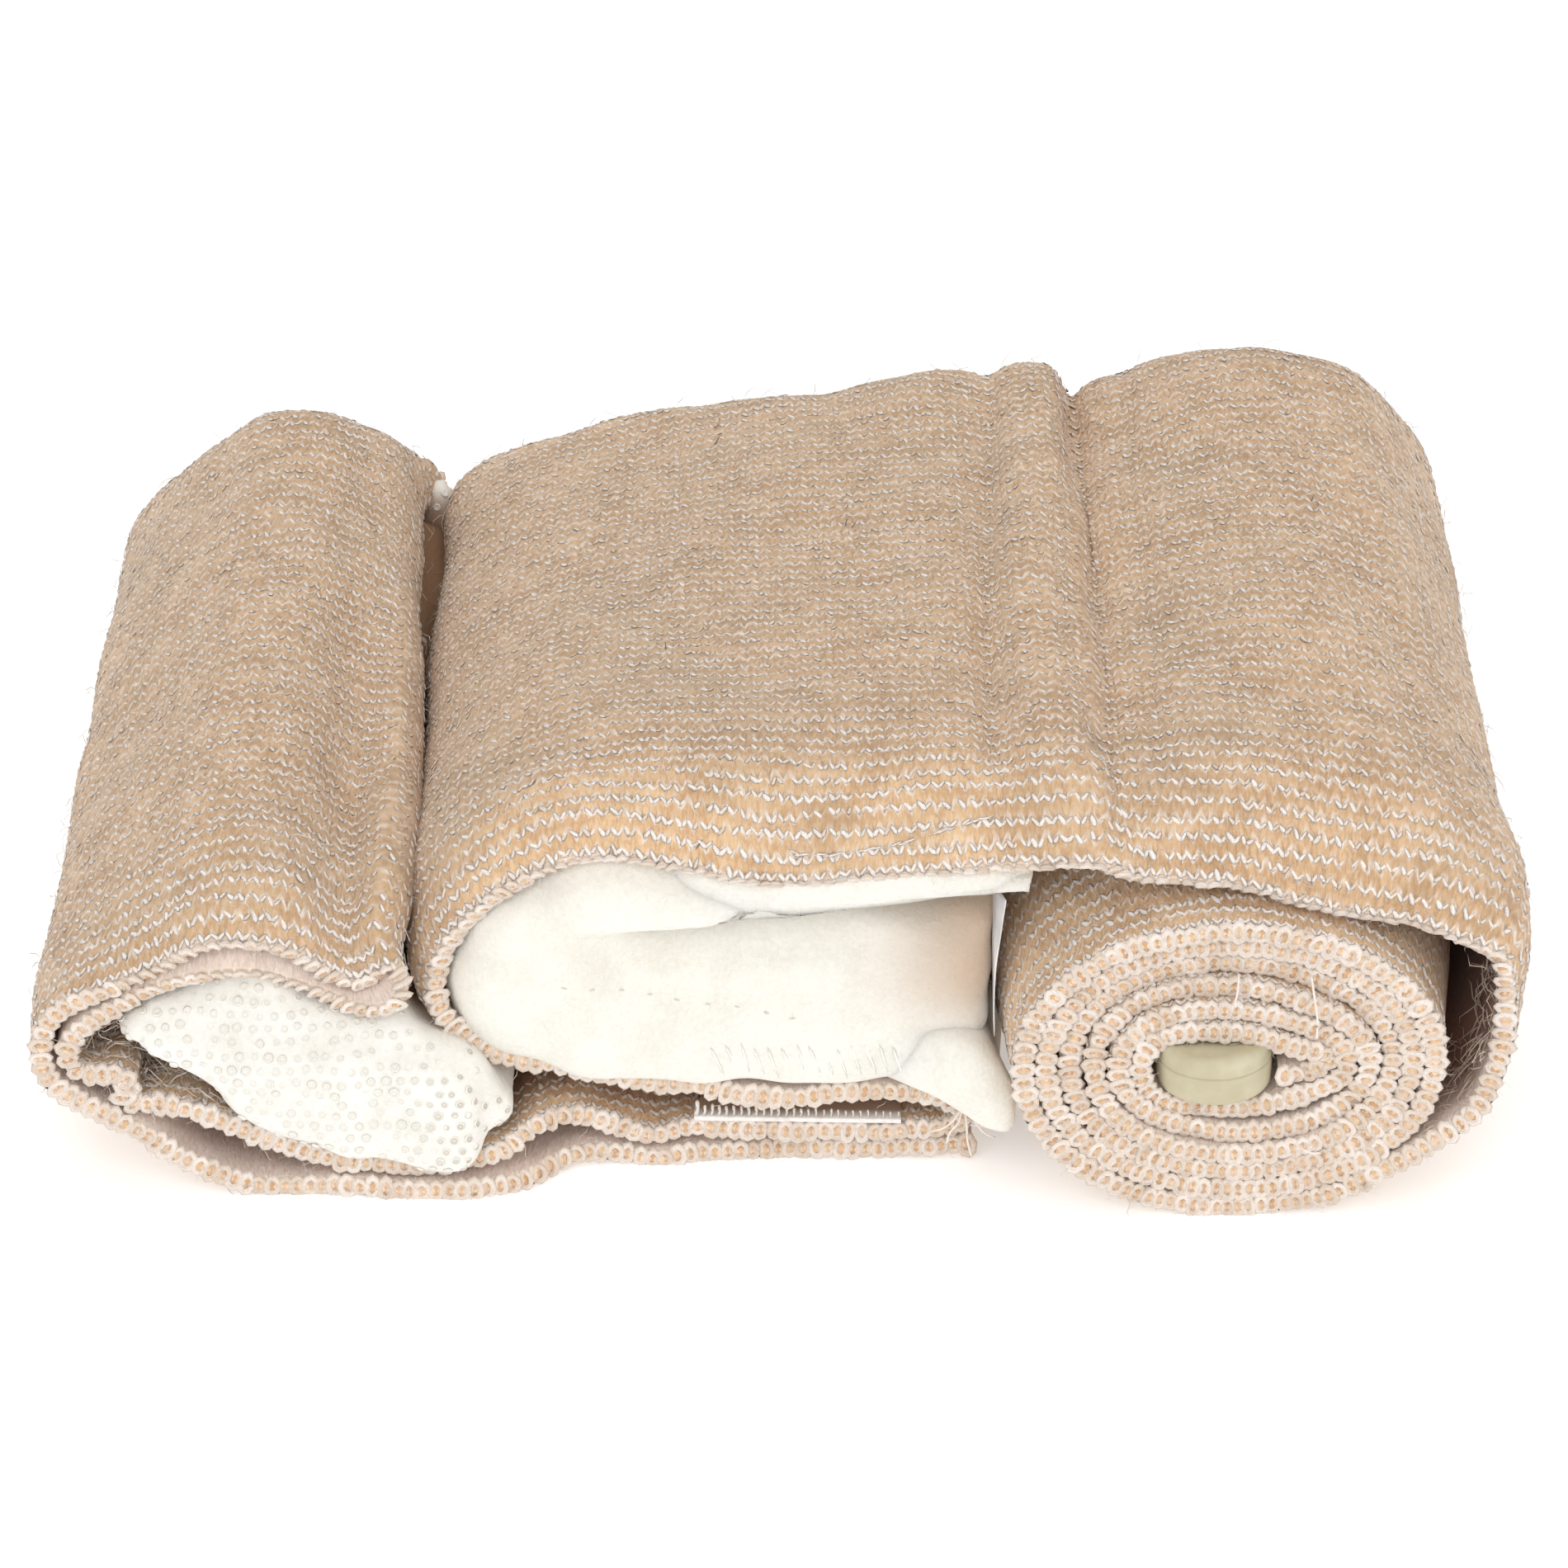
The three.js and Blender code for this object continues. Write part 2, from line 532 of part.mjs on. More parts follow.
// A flat bar seen from above with half-round ends, drawn in at its upper and lower edges
function barGeometry(extra) {
  const r = bar.width / 2 + extra;
  const half = bar.length / 2 + extra - r;
  const outline = new THREE.Shape();
  outline.moveTo(r, -half);
  outline.lineTo(r, half);
  outline.absarc(0, half, r, 0, Math.PI, false);
  outline.lineTo(-r, -half);
  outline.absarc(0, -half, r, Math.PI, 2 * Math.PI, false);
  const bevel = extra > 0 ? 0 : bar.edge;
  const geometry = new THREE.ExtrudeGeometry(outline, {
    depth: bar.thick + 2 * extra - 2 * bevel,
    bevelEnabled: bevel > 0,
    bevelThickness: bevel,
    bevelSize: bevel,
    bevelOffset: -bevel,
    bevelSegments: 2,
    curveSegments: 14,
  });
  geometry.translate(0, 0, bevel - bar.thick / 2 - extra);
  geometry.rotateY(-bar.tilt);
  geometry.translate(bar.centreX, bar.front + bar.length / 2, bar.centreZ);
  return geometry;
}

function wrapGeometry() {
  const fromRoll = leaveRollAt.map((left) => {
    const p = spiralPoint(roll.turns - left, 0.55);
    return { x: p.x, z: p.z, lead: roll.front + 0.5, front: 0, back: 0, bulge: 0, lap: 14 };
  });
  const rows = [
    ...loopAndCover,
    ...middleSideAndUnderPad,
    ...innerBottomOfLeft,
    ...innerTopOfLeft,
    ...outerLeft,
    ...outerBottomToCutEnd,
  ].map(named);
  const path = smoothRows([...fromRoll, ...rows], stripStep);
  const grid = path.map((row) => stations.map((share) => pointAt(row, share, stripWidth)));
  const strip = toManifold(sheetGeometry(grid, cloth));
  const pocket = toManifold(barGeometry(gap));
  return toGeometry(toManifold(rollGeometry()).add(strip).subtract(pocket));
}

function padGeometry(outline, width) {
  const rows = smoothRows(outline.map(named), pads.step, true);
  return loftGeometry(rows, width, pads.drawnIn);
}

function hookStripGeometry() {
  const length = hookStrip.right - hookStrip.left;
  const outline = new THREE.Shape();
  outline.moveTo(0, 0);
  outline.lineTo(length, -hookStrip.drop);
  outline.lineTo(length, hookStrip.low - hookStrip.drop);
  outline.lineTo(0, hookStrip.tall);
  const geometry = new THREE.ExtrudeGeometry(outline, { depth: hookStrip.length, bevelEnabled: false });
  geometry.rotateX(Math.PI / 2);
  geometry.translate(hookStrip.left, hookStrip.front + hookStrip.length, hookStrip.bottom);
  return geometry;
}

function clearFilmGeometry() {
  const path = smoothRows(filmEdge.map(named), film.step);
  const grid = path.map((row) => stations.map((share) => pointAt(row, share, film.width)));
  return sheetGeometry(grid, film.thick);
}

const bandage = new THREE.Group();
bandage.position.set(footprintShift.x, footprintShift.y, 0);

function addPiece(name, geometry, color, roughness, more = {}) {
  const material = new THREE.MeshStandardMaterial({ color, roughness, metalness: 0, ...more });
  const mesh = new THREE.Mesh(geometry, material);
  mesh.name = name;
  bandage.add(mesh);
}

addPiece("elastic_wrap", wrapGeometry(), 0xd2ae86, 0.95);
addPiece("fleece_pad", padGeometry(fleeceOutline, pads.fleeceWidth), 0xfaf8ee, 0.98);
addPiece("film_pad", padGeometry(filmPadOutline, pads.filmFacedWidth), 0xf6f3ea, 0.6);
addPiece("closure_bar", barGeometry(0), 0xd0c7a4, 0.45);
addPiece("hook_strip", hookStripGeometry(), 0xeee9e4, 0.6);
addPiece("clear_film", clearFilmGeometry(), 0xd8dde0, 0.15, { transparent: true, opacity: 0.4 });

export default bandage;
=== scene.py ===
# %% [markdown]
# # An emergency pressure bandage, folded and rolled
#
# The real thing is one long strip of knitted elastic. It starts at a flat plastic bar, is wound round it,
# leaves the roll as a loop and runs over a fleece pad as its cover. From there it goes round and back under
# the pad, twice round a second pad at the left, and ends with a cut edge under everything.
# This lesson builds that strip as one sheet along its real path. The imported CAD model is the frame: it gives
# the size and the place, and each cell dresses a part of it.

# %% Load the frame
import math

import bmesh
import bpy
import numpy as np
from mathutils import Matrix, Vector


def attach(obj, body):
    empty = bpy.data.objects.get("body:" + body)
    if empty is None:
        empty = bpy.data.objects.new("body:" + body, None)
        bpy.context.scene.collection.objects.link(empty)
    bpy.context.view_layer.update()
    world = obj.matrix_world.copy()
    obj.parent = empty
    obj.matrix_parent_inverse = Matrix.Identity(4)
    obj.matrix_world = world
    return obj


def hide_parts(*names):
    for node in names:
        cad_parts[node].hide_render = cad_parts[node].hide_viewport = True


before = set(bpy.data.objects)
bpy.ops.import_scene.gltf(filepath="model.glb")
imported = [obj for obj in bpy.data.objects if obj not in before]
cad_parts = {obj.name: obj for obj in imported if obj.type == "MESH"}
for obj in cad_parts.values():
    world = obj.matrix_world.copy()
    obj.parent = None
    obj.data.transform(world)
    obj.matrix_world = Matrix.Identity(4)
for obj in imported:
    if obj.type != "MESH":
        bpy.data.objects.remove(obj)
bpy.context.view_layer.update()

# %% [markdown]
# ## Units and small helpers
#
# A bandage is measured in millimetres, and Blender's unit here is the metre. The tables below stay in
# millimetres because they read like a maker's sizes, and small helpers turn lists of points into meshes.

# %% Units, names and mesh helpers
MM = 0.001
BODY = "root"
FOOTPRINT_SHIFT = np.array([0.0, -1.2, 0.0])  # brings the tables' origin to the middle of the footprint
rng = np.random.default_rng(7)


def in_scene(name, data):
    """A new object in the scene, for a mesh, a camera or a lamp."""
    obj = bpy.data.objects.new(name, data)
    bpy.context.scene.collection.objects.link(obj)
    return obj


def make_object(name, points_mm, faces, smooth=True):
    """A mesh object from points in millimetres, placed in its mesh."""
    mesh = bpy.data.meshes.new(name)
    mesh.from_pydata((np.asarray(points_mm) * MM).tolist(), [], faces)
    mesh.validate()
    if smooth:
        mesh.shade_smooth()
    return in_scene(name, mesh)


def store(mesh, label, values):
    """Keeps a number for each point of a mesh, for a material to read."""
    attribute = mesh.attributes.new(label, "FLOAT", "POINT")
    attribute.data.foreach_set("value", np.asarray(values, np.float32).ravel())


def tube_faces(rings, count, turned=1):
    """Quads between rings of points, and a cap at each end. turned is -1 for rings that run the other way."""
    quads = []
    for low in range(0, (rings - 1) * count, count):
        high = low + count
        quads += [(low + i, low + (i + 1) % count, high + (i + 1) % count, high + i) for i in range(count)]
    first, last = tuple(range(count)), tuple(range((rings - 1) * count, rings * count))
    return quads + [first[::-turned], last[::turned]]


def add_to_object(obj, material, stands_for=()):
    """Gives a finished piece its body, and its material and what it stands for where it needs them."""
    if material:
        obj.data.materials.clear()
        obj.data.materials.append(material)
    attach(obj, BODY)
    if stands_for:
        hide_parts(*stands_for)
    triangles = sum(len(p.vertices) - 2 for p in obj.data.polygons)
    print(obj.name, "has", triangles, "triangles")
    return obj


# %% [markdown]
# ## The camera
#
# The photograph looks down on the front selvedges at about 29 degrees, through a long lens from half a metre
# away. The camera comes first, so that every later piece can be looked at as soon as it is made.

# %% Place the camera
LENS = 143.4
CAMERA_PLACE = np.array([0.0, -527.9, 308.0]) + FOOTPRINT_SHIFT
CAMERA_PITCH = math.radians(29.0)
SENSOR = 36
NEAREST_SEEN = 10.0

camera = in_scene("camera", bpy.data.cameras.new("camera"))
camera.location = (CAMERA_PLACE * MM).tolist()
camera.rotation_euler = (math.pi / 2 - CAMERA_PITCH, 0, 0)
camera.data.lens = LENS
camera.data.sensor_width = SENSOR
camera.data.clip_start = NEAREST_SEEN * MM
bpy.context.scene.camera = camera
print("camera at", [round(v, 3) for v in camera.location])

# %% [markdown]
# ## The strip's path
#
# Seen from the front, the strip is a line that winds, loops and folds. Each row of a table is one bend of its
# middle line at the front selvedge. `x` and `z` place it, `lead` is the selvedge's depth, `front` and `back`
# are how far the cloth rises between its selvedges, `bulge` how far it moves sideways there, and `lap` how
# deep the bend at a selvedge is. One lap holds for many rows, so a table says it once. The CAD solids use the
# same rows, so the cloth lies where they are.

# %% Rows of the path
def filled(lap, rows):
    """Rows with all their columns. A row leaves out its bulge, or its rises too, where they are 0."""
    return [(*(*row, 0, 0, 0)[:6], lap) for row in rows]


LOOP_AND_COVER = filled(14, [
    (61.2, 9.8, -52.0, 0, 0, 0.8),
    (63.0, 13.4, -51.0, 0, 0, 1.7),
    (63.8, 18.0, -50.0, 0, 0, 2.4),
    (64.2, 22.0, -48.8, 1.4, 1.6, 2.5),
    (63.7, 24.1, -48.2, 3.4, 4.2, 2.4),
    (60.8, 25.6, -48.0, 6.0, 7.8, 2.4),
]) + filled(13, [
    (56.8, 27.3, -47.8, 8.2, 11.4, 2.2),
    (52.0, 28.2, -47.6, 9.6, 13.2, 1.4),
    (46.0, 29.6, -47.6, 9.8, 12.5, 0.4),
    (40.0, 31.3, -47.6, 8.4, 9.1),
    (35.0, 31.6, -47.5, 7.6, 6.4),
    (31.4, 31.8, -47.3, 6.3, 4.0),
    (29.2, 32.5, -47.1, 5.3, 1.6),
    (27.2, 33.0, -46.9, 7.2, 4.9),
    (23.2, 32.8, -46.6, 7.3, 4.9),
    (19.6, 32.4, -46.4, 6.2, 4.1),
    (15.0, 32.0, -46.2, 7.6, 4.8),
    (7.5, 31.2, -46.0, 8.4, 4.4),
    (0.0, 30.6, -46.0, 9.0, 4.2),
    (-8.5, 31.9, -46.0, 7.6, 1.0),
    (-15.5, 33.1, -46.0, 5.8, -2.4),
    (-20.5, 32.3, -46.0, 5.2, -3.0, -0.6),
])
MIDDLE_SIDE_AND_UNDER_PAD = filled(13, [
    (-24.6, 29.8, -46.0, 4.6, -2.0, -1.6),
    (-27.8, 26.9, -46.0, 3.8, -1.0, -2.3),
    (-30.0, 23.8, -46.0, 2.6, -0.4, -2.7),
    (-30.8, 20.6, -46.0, 1.2, 0.2, -2.9),
    (-30.2, 17.8, -46.0, 0, 0, -2.7),
    (-28.0, 15.0, -46.0, 0, 0, -1.9),
    (-24.0, 12.6, -46.0, 0, 0, -0.8),
]) + filled(12, [
    (-18.0, 10.8, -46.0),
    (-10.0, 9.6, -46.0),
    (-3.0, 8.7, -46.0),
    (1.0, 8.3, -46.0),
    (5.0, 8.7, -45.8),
    (9.4, 8.5, -45.6),
    (13.0, 7.6, -45.2),
    (15.6, 6.5, -44.8),
    (16.7, 5.1, -44.5),
    (15.4, 3.9, -44.3),
])
INNER_BOTTOM_OF_LEFT = filled(12, [
    (11.0, 3.5, -44.0),
    (4.0, 3.4, -44.0),
    (-4.0, 3.5, -44.0),
    (-8.8, 3.6, -44.0),
    (-11.8, 3.4, -44.2),
    (-15.2, 4.6, -44.6),
    (-19.6, 6.0, -45.6),
    (-22.8, 5.6, -47.4),
    (-25.6, 4.0, -48.8),
    (-29.5, 3.15, -49.0),
    (-37.0, 3.2, -49.0),
    (-41.5, 4.1, -49.0),
    (-46.0, 5.5, -49.0),
    (-49.8, 6.7, -49.0),
    (-52.6, 8.2, -49.0),
    (-55.6, 9.2, -49.0),
    (-58.0, 9.4, -49.2),
    (-59.5, 10.3, -49.4),
    (-58.9, 11.7, -49.4),
    (-59.9, 12.9, -49.3),
    (-61.8, 12.9, -49.1),
    (-63.5, 13.2, -49.0),
])
INNER_TOP_OF_LEFT = filled(14, [
    (-64.5, 14.8, -49.0, 0.4, 0.5),
    (-63.4, 16.8, -49.0, 1.4, 2.6),
    (-60.0, 18.9, -49.0, 2.8, 5.4),
    (-56.4, 20.9, -49.0, 4.0, 7.4),
    (-52.0, 22.5, -49.0, 4.9, 8.0),
    (-48.0, 22.9, -49.0, 5.3, 8.3),
    (-44.2, 22.0, -49.0, 4.9, 8.6, -0.4),
    (-41.0, 20.5, -49.0, 4.1, 9.0, -1.0),
    (-38.2, 19.3, -49.2, 3.6, 7.4, -1.6),
    (-35.6, 19.3, -49.4, 3.6, 4.4, -2.0),
])
OUTER_LEFT = filled(14, [
    (-33.9, 20.6, -49.5, 4.0, 2.4, -2.8),
    (-33.9, 22.6, -49.5, 4.6, 2.4, -2.8),
    (-35.0, 23.9, -49.5, 5.0, 4.0, -2.7),
    (-36.2, 22.9, -49.5, 4.4, 6.6, -2.4),
    (-38.0, 22.0, -49.5, 3.8, 9.2, -1.7),
    (-40.6, 22.9, -49.5, 4.4, 10.2, -1.1),
    (-44.0, 25.2, -49.5, 5.2, 9.0, -0.4),
    (-48.0, 26.2, -49.5, 5.6, 8.4),
    (-52.0, 25.8, -49.5, 5.2, 8.2),
    (-56.0, 23.6, -49.5, 4.4, 7.8),
    (-60.0, 21.5, -49.5, 3.2, 6.4),
    (-63.6, 19.6, -49.5, 1.8, 4.2),
    (-66.0, 17.2, -49.5, 0.8, 2.0, -0.5),
    (-66.6, 14.4, -49.5, 0, 0, -0.5),
    (-65.6, 11.8, -49.5, 0, 0, -0.2),
    (-63.2, 9.7, -49.5),
    (-60.2, 8.1, -49.5),
    (-57.4, 6.3, -49.5),
    (-54.2, 3.5, -49.5),
    (-50.4, 1.7, -49.5),
])
OUTER_BOTTOM_TO_CUT_END = filled(12, [
    (-45.5, 0.9, -49.5),
    (-38.0, 0.9, -49.5),
    (-27.0, 0.9, -49.5),
    (-23.0, 0.9, -48.4),
    (-19.8, 1.0, -45.4),
    (-15.0, 1.1, -44.2),
    (-11.0, 0.9, -44.4),
    (-7.2, 1.1, -43.4),
    (0.0, 0.95, -43.2),
    (9.0, 1.0, -43.2),
    (14.0, 1.3, -43.4),
    (17.2, 1.7, -43.6),
])

cloth_rows = (LOOP_AND_COVER + MIDDLE_SIDE_AND_UNDER_PAD + INNER_BOTTOM_OF_LEFT + INNER_TOP_OF_LEFT
              + OUTER_LEFT + OUTER_BOTTOM_TO_CUT_END)
print(len(cloth_rows), "rows in the folds")

# %% [markdown]
# ## The roll as a spiral
#
# The turns follow a rule, so a formula draws them: an oval spiral whose radii grow by one layer a turn. The
# first turn is listed point by point, because it clasps the flat bar and makes a small folded tip beside it.
# The turns don't end level at the front. Some stand out and some lie back, and `ROLL_LEADS` holds how far.

# %% Rows of the roll
ROLL_TURNS = 6
ROLL_EXIT = -math.pi / 4
ROLL_CENTRE = (40.3, 15.2)
ROLL_RADII = (23.0, 15.6)
ROLL_PITCH = (2.15, 1.93)
ROLL_FRONT = -53.0
ROLL_SWELL = 0.22
ROLL_RIM_INSET = 0.10
ROLL_LAP = 22.0
ROLL_HUG = 0.9  # how far the inner turns are drawn in at the upper right and the left, close to the bar
HUG_FULL_TO, HUG_FADE = 1.4, 4  # turns that are drawn in fully, and over how many more that fades
SPIRAL_FROM, SPIRAL_TO = 1.08, ROLL_TURNS - 0.03
ROLL_ROW_LAP = 14
STEPS_PER_TURN = 24
# Depth of the front selvedge behind ROLL_FRONT for each turn, counted from the bar, above and below it
ROLL_LEADS = {
    "turn": (0, 1, 2, 3, 4, 5, 6),
    "above": (1.7, 1.6, 1.9, 3.6, 3.4, 2.2, 1.0),
    "below": (1.6, 1.0, 0.5, -0.2, 0.0, 0.2, 0.2),
}
HUB = [
    (44.8, 13.8),
    (46.8, 14.1),
    (48.6, 14.7),
    (49.8, 15.6),
    (48.7, 16.5),
    (46.6, 16.9),
    (44.4, 17.7),
    (41.6, 18.4),
    (38.0, 18.6),
    (34.0, 18.3),
    (31.5, 16.8),
    (30.9, 14.4),
    (32.4, 11.7),
    (37.6, 10.8),
    (43.0, 11.0),
    (47.4, 12.1),
    (50.4, 13.3),
]
print(len(HUB), "rows in the first turn")

# %% Turns of the roll
def roll_lead(turn, angle):
    """How deep a selvedge lies in the roll's face, from the turn and the angle round the bar."""
    above = np.interp(turn, ROLL_LEADS["turn"], ROLL_LEADS["above"])
    below = np.interp(turn, ROLL_LEADS["turn"], ROLL_LEADS["below"])
    share = 0.5 + 0.5 * math.sin(angle)
    return ROLL_FRONT + below + (above - below) * share


def spiral_row(turn):
    """A row of the path on the spiral after so many turns, at the middle of the cloth."""
    angle = ROLL_EXIT + 2 * math.pi * (turn - ROLL_TURNS)
    left = ROLL_TURNS - turn + 0.5
    hug = ROLL_HUG * min(1.0, max(0.0, 1 - (turn - HUG_FULL_TO) / HUG_FADE))
    hug_left = hug * max(0.0, -math.cos(angle)) ** 2
    hug_upper_right = hug * max(0.0, math.cos(angle - math.pi / 4)) ** 2
    x = ROLL_CENTRE[0] + (ROLL_RADII[0] - ROLL_PITCH[0] * left - hug_left) * math.cos(angle)
    z = ROLL_CENTRE[1] + (ROLL_RADII[1] - ROLL_PITCH[1] * left - hug_upper_right) * math.sin(angle)
    return (x, z, roll_lead(turn, angle), 0, 0, 0, ROLL_ROW_LAP)


def hub_rows():
    """The first turn from its listed points, with the same columns."""
    rows = []
    for k, (x, z) in enumerate(HUB):
        angle = math.atan2(z - ROLL_CENTRE[1], x - ROLL_CENTRE[0])
        rows.append((x, z, roll_lead(k / len(HUB), angle), 0, 0, 0, ROLL_ROW_LAP))
    return rows


turns = np.arange(SPIRAL_FROM, SPIRAL_TO, 1 / STEPS_PER_TURN)
roll_rows = hub_rows() + [spiral_row(t) for t in turns]
path_rows = np.array([(*row, 1.0) for row in roll_rows] + [(*row, 0.0) for row in cloth_rows])
print(len(roll_rows), "rows in the roll")

# %% [markdown]
# ## From rows to a smooth sheet
#
# A Catmull-Rom curve passes through every row and keeps its bends round. The same curve carries the other
# columns along. Afterwards the rows are spaced evenly, because a knit has stitches of one size, and across
# the strip the points are spaced by distance on the cloth, so the stitch rows stay even where it bends down.

# %% Smooth the rows
def catmull_rom(rows, step, closed=False):
    """Rows on a centripetal Catmull-Rom curve, about a step apart in x and z."""
    p = np.asarray(rows, float)
    if closed:
        q = np.vstack([p[-1], p, p[0], p[1]])
    else:
        q = np.vstack([2 * p[0] - p[1], p, 2 * p[-1] - p[-2]])
    out = []
    for i in range(1, len(q) - 2):
        near = q[i - 1:i + 3]
        gaps = [max(math.hypot(*(b - a)[:2]), 1e-6) ** 0.5 for a, b in zip(near, near[1:])]
        t = np.cumsum([0.0] + gaps)
        count = max(1, round(math.hypot(*(near[2] - near[1])[:2]) / step))
        for s in np.linspace(t[1], t[2], count, endpoint=False):
            level = list(near)
            for width in (1, 2, 3):  # three rounds of blending, each over a wider span
                spans = []
                for k in range(4 - width):
                    low, high = (t[1], t[2]) if width == 3 else (t[k], t[k + width])
                    spans.append((level[k] * (high - s) + level[k + 1] * (s - low)) / (high - low))
                level = spans
            out.append(level[0])
    if not closed:
        out.append(p[-1])
    return np.array(out)


def even_rows(rows, step, fine_end=0.0):
    """The same curve with even rows, half a step apart in its last fine_end, and the distances along it."""
    lengths = np.concatenate([[0], np.cumsum(np.hypot(np.diff(rows[:, 0]), np.diff(rows[:, 1])))])
    total = lengths[-1]
    coarse = np.linspace(0, total - fine_end, int(round((total - fine_end) / step)) + 1)
    fine = np.linspace(total - fine_end, total, int(round(fine_end / step * 2)) + 1)[1:]
    at = np.concatenate([coarse, fine])
    return np.column_stack([np.interp(at, lengths, rows[:, c]) for c in range(rows.shape[1])]), at


STITCH = 1.15
CURVE_STEP, GRID_STEP = 0.4, 1.3
OUTER_PART = 520.0  # the outermost turn and the folds, where the bends show
along_rows, along = even_rows(catmull_rom(path_rows, CURVE_STEP), GRID_STEP, OUTER_PART)
STRIP_LENGTH = along[-1]
print("the strip is", round(STRIP_LENGTH), "mm long, in", len(along_rows), "rows")

# %% Spread each row across the strip
STRIP_WIDTH = 100.0
BACK_LAP = 0.6  # the back selvedges bend down in a tighter arc than the front ones
GIVE = 0.45  # share of a bend's extra length that draws the cloth in; the elastic gives for the rest
FLARE = ((0.0, 0.06, 0.25, 1.0), (1.0, 1.0, 0.5, 0.5))  # the loop's bulge is widest near its front
CLOTH = 1.75
EDGE = CLOTH / 2
CLOSE_TO, WIDE_FROM = 13, 17  # distances from a selvedge where close stations end and wide ones start
ACROSS = np.concatenate([
    np.linspace(EDGE, CLOSE_TO, 7),
    np.linspace(WIDE_FROM, STRIP_WIDTH - WIDE_FROM, 16),
    np.linspace(STRIP_WIDTH - CLOSE_TO, STRIP_WIDTH - EDGE, 7),
])
SAMPLES_ACROSS = 161


def smoothstep(value, low, high):
    """0 up to low, 1 from high, and a soft rise between them."""
    t = np.clip((value - low) / (high - low), 0, 1)
    return t * t * (3 - 2 * t)


def bend_loss(lap, rise):
    """Depth of cloth lost at a selvedge that bends down through an arc."""
    return math.pi / 2 * np.sqrt((lap ** 2 + rise ** 2) / 2) - lap


def cloth_points(row, share, width=STRIP_WIDTH):
    """Points of one row at shares of the width: folded cloth, or a turn of the roll, or between the two."""
    x, z, lead, front, back, bulge, lap, rolled = row
    back_lap = lap * BACK_LAP
    lost = bend_loss(lap, front) - bend_loss(lap, 0)
    lost += bend_loss(back_lap, max(front, back)) - bend_loss(back_lap, 0)
    depth = width - GIVE * lost
    from_front = share * depth
    t = np.minimum(1, np.minimum(from_front / lap, (depth - from_front) / back_lap))
    s = np.sqrt(np.maximum(0, 1 - (1 - t) ** 2))
    tilt = min(0.0, back - front)
    rise = front + (back - front - tilt) * share
    swelling = bulge * s * (np.interp(share, *FLARE) if bulge > 0 else 1)
    folded = np.column_stack([x + swelling, lead + from_front, z + rise * s + tilt * share])
    swell = smoothstep(width * np.minimum(share, 1 - share), 0, ROLL_LAP)
    wound = np.column_stack([
        ROLL_CENTRE[0] + (x - ROLL_CENTRE[0]) * (1 - ROLL_RIM_INSET * (1 - swell)),
        lead + width * share,
        z * (1 + ROLL_SWELL * swell),
    ])
    return folded * (1 - rolled) + wound * rolled


# %% The grid of middle points
def spread_across(rows, stations, width=STRIP_WIDTH):
    """A grid of middle points, one line of stations for each row, spaced by distance on the cloth."""
    shares = np.linspace(0, 1, SAMPLES_ACROSS)
    grid = np.empty((len(rows), len(stations), 3))
    for i, row in enumerate(rows):
        line = cloth_points(row, shares, width)
        run = np.concatenate([[0], np.cumsum(np.linalg.norm(np.diff(line, axis=0), axis=1))])
        at = np.asarray(stations) * run[-1] / width
        for c in range(3):
            grid[i, :, c] = np.interp(at, run, line[:, c])
    return grid + FOOTPRINT_SHIFT


def unit(vectors):
    """The same directions with a length of 1."""
    return vectors / np.maximum(np.linalg.norm(vectors, axis=-1, keepdims=True), 1e-9)


def frames_of(grid):
    """Directions along the strip, across it and out of its inner face."""
    tangent = unit(np.gradient(grid, axis=0))
    across = unit(np.gradient(grid, axis=1))
    normal = unit(np.cross(tangent, across))
    return tangent, across, normal


middle = spread_across(along_rows, ACROSS)
print("grid of", middle.shape[0], "by", middle.shape[1], "points")

# %% [markdown]
# ## Unevenness and creases
#
# Nobody folds a bandage quite flat. Broad low waves, made as a sum of a few sines with fixed random phases,
# lift and lower the cloth by a fraction of a millimetre. The creases that show on the cover are listed one by
# one: each is a line in plan with a depth and a width, and a soft trough or ridge follows it.

# %% Waves and creases
# Each wave: its length along the strip and across it, and its height
WAVES = [(31, 47, 0.16), (23, -35, 0.14), (17, 26, 0.10), (11, -19, 0.08), (7, 13, 0.05)]
ROLL_CALM = 0.8  # share of the waves that the tight roll takes away
RAGGED, RAGGED_OVER, RAGGED_DEPTH = 0.45, 9, 3.0
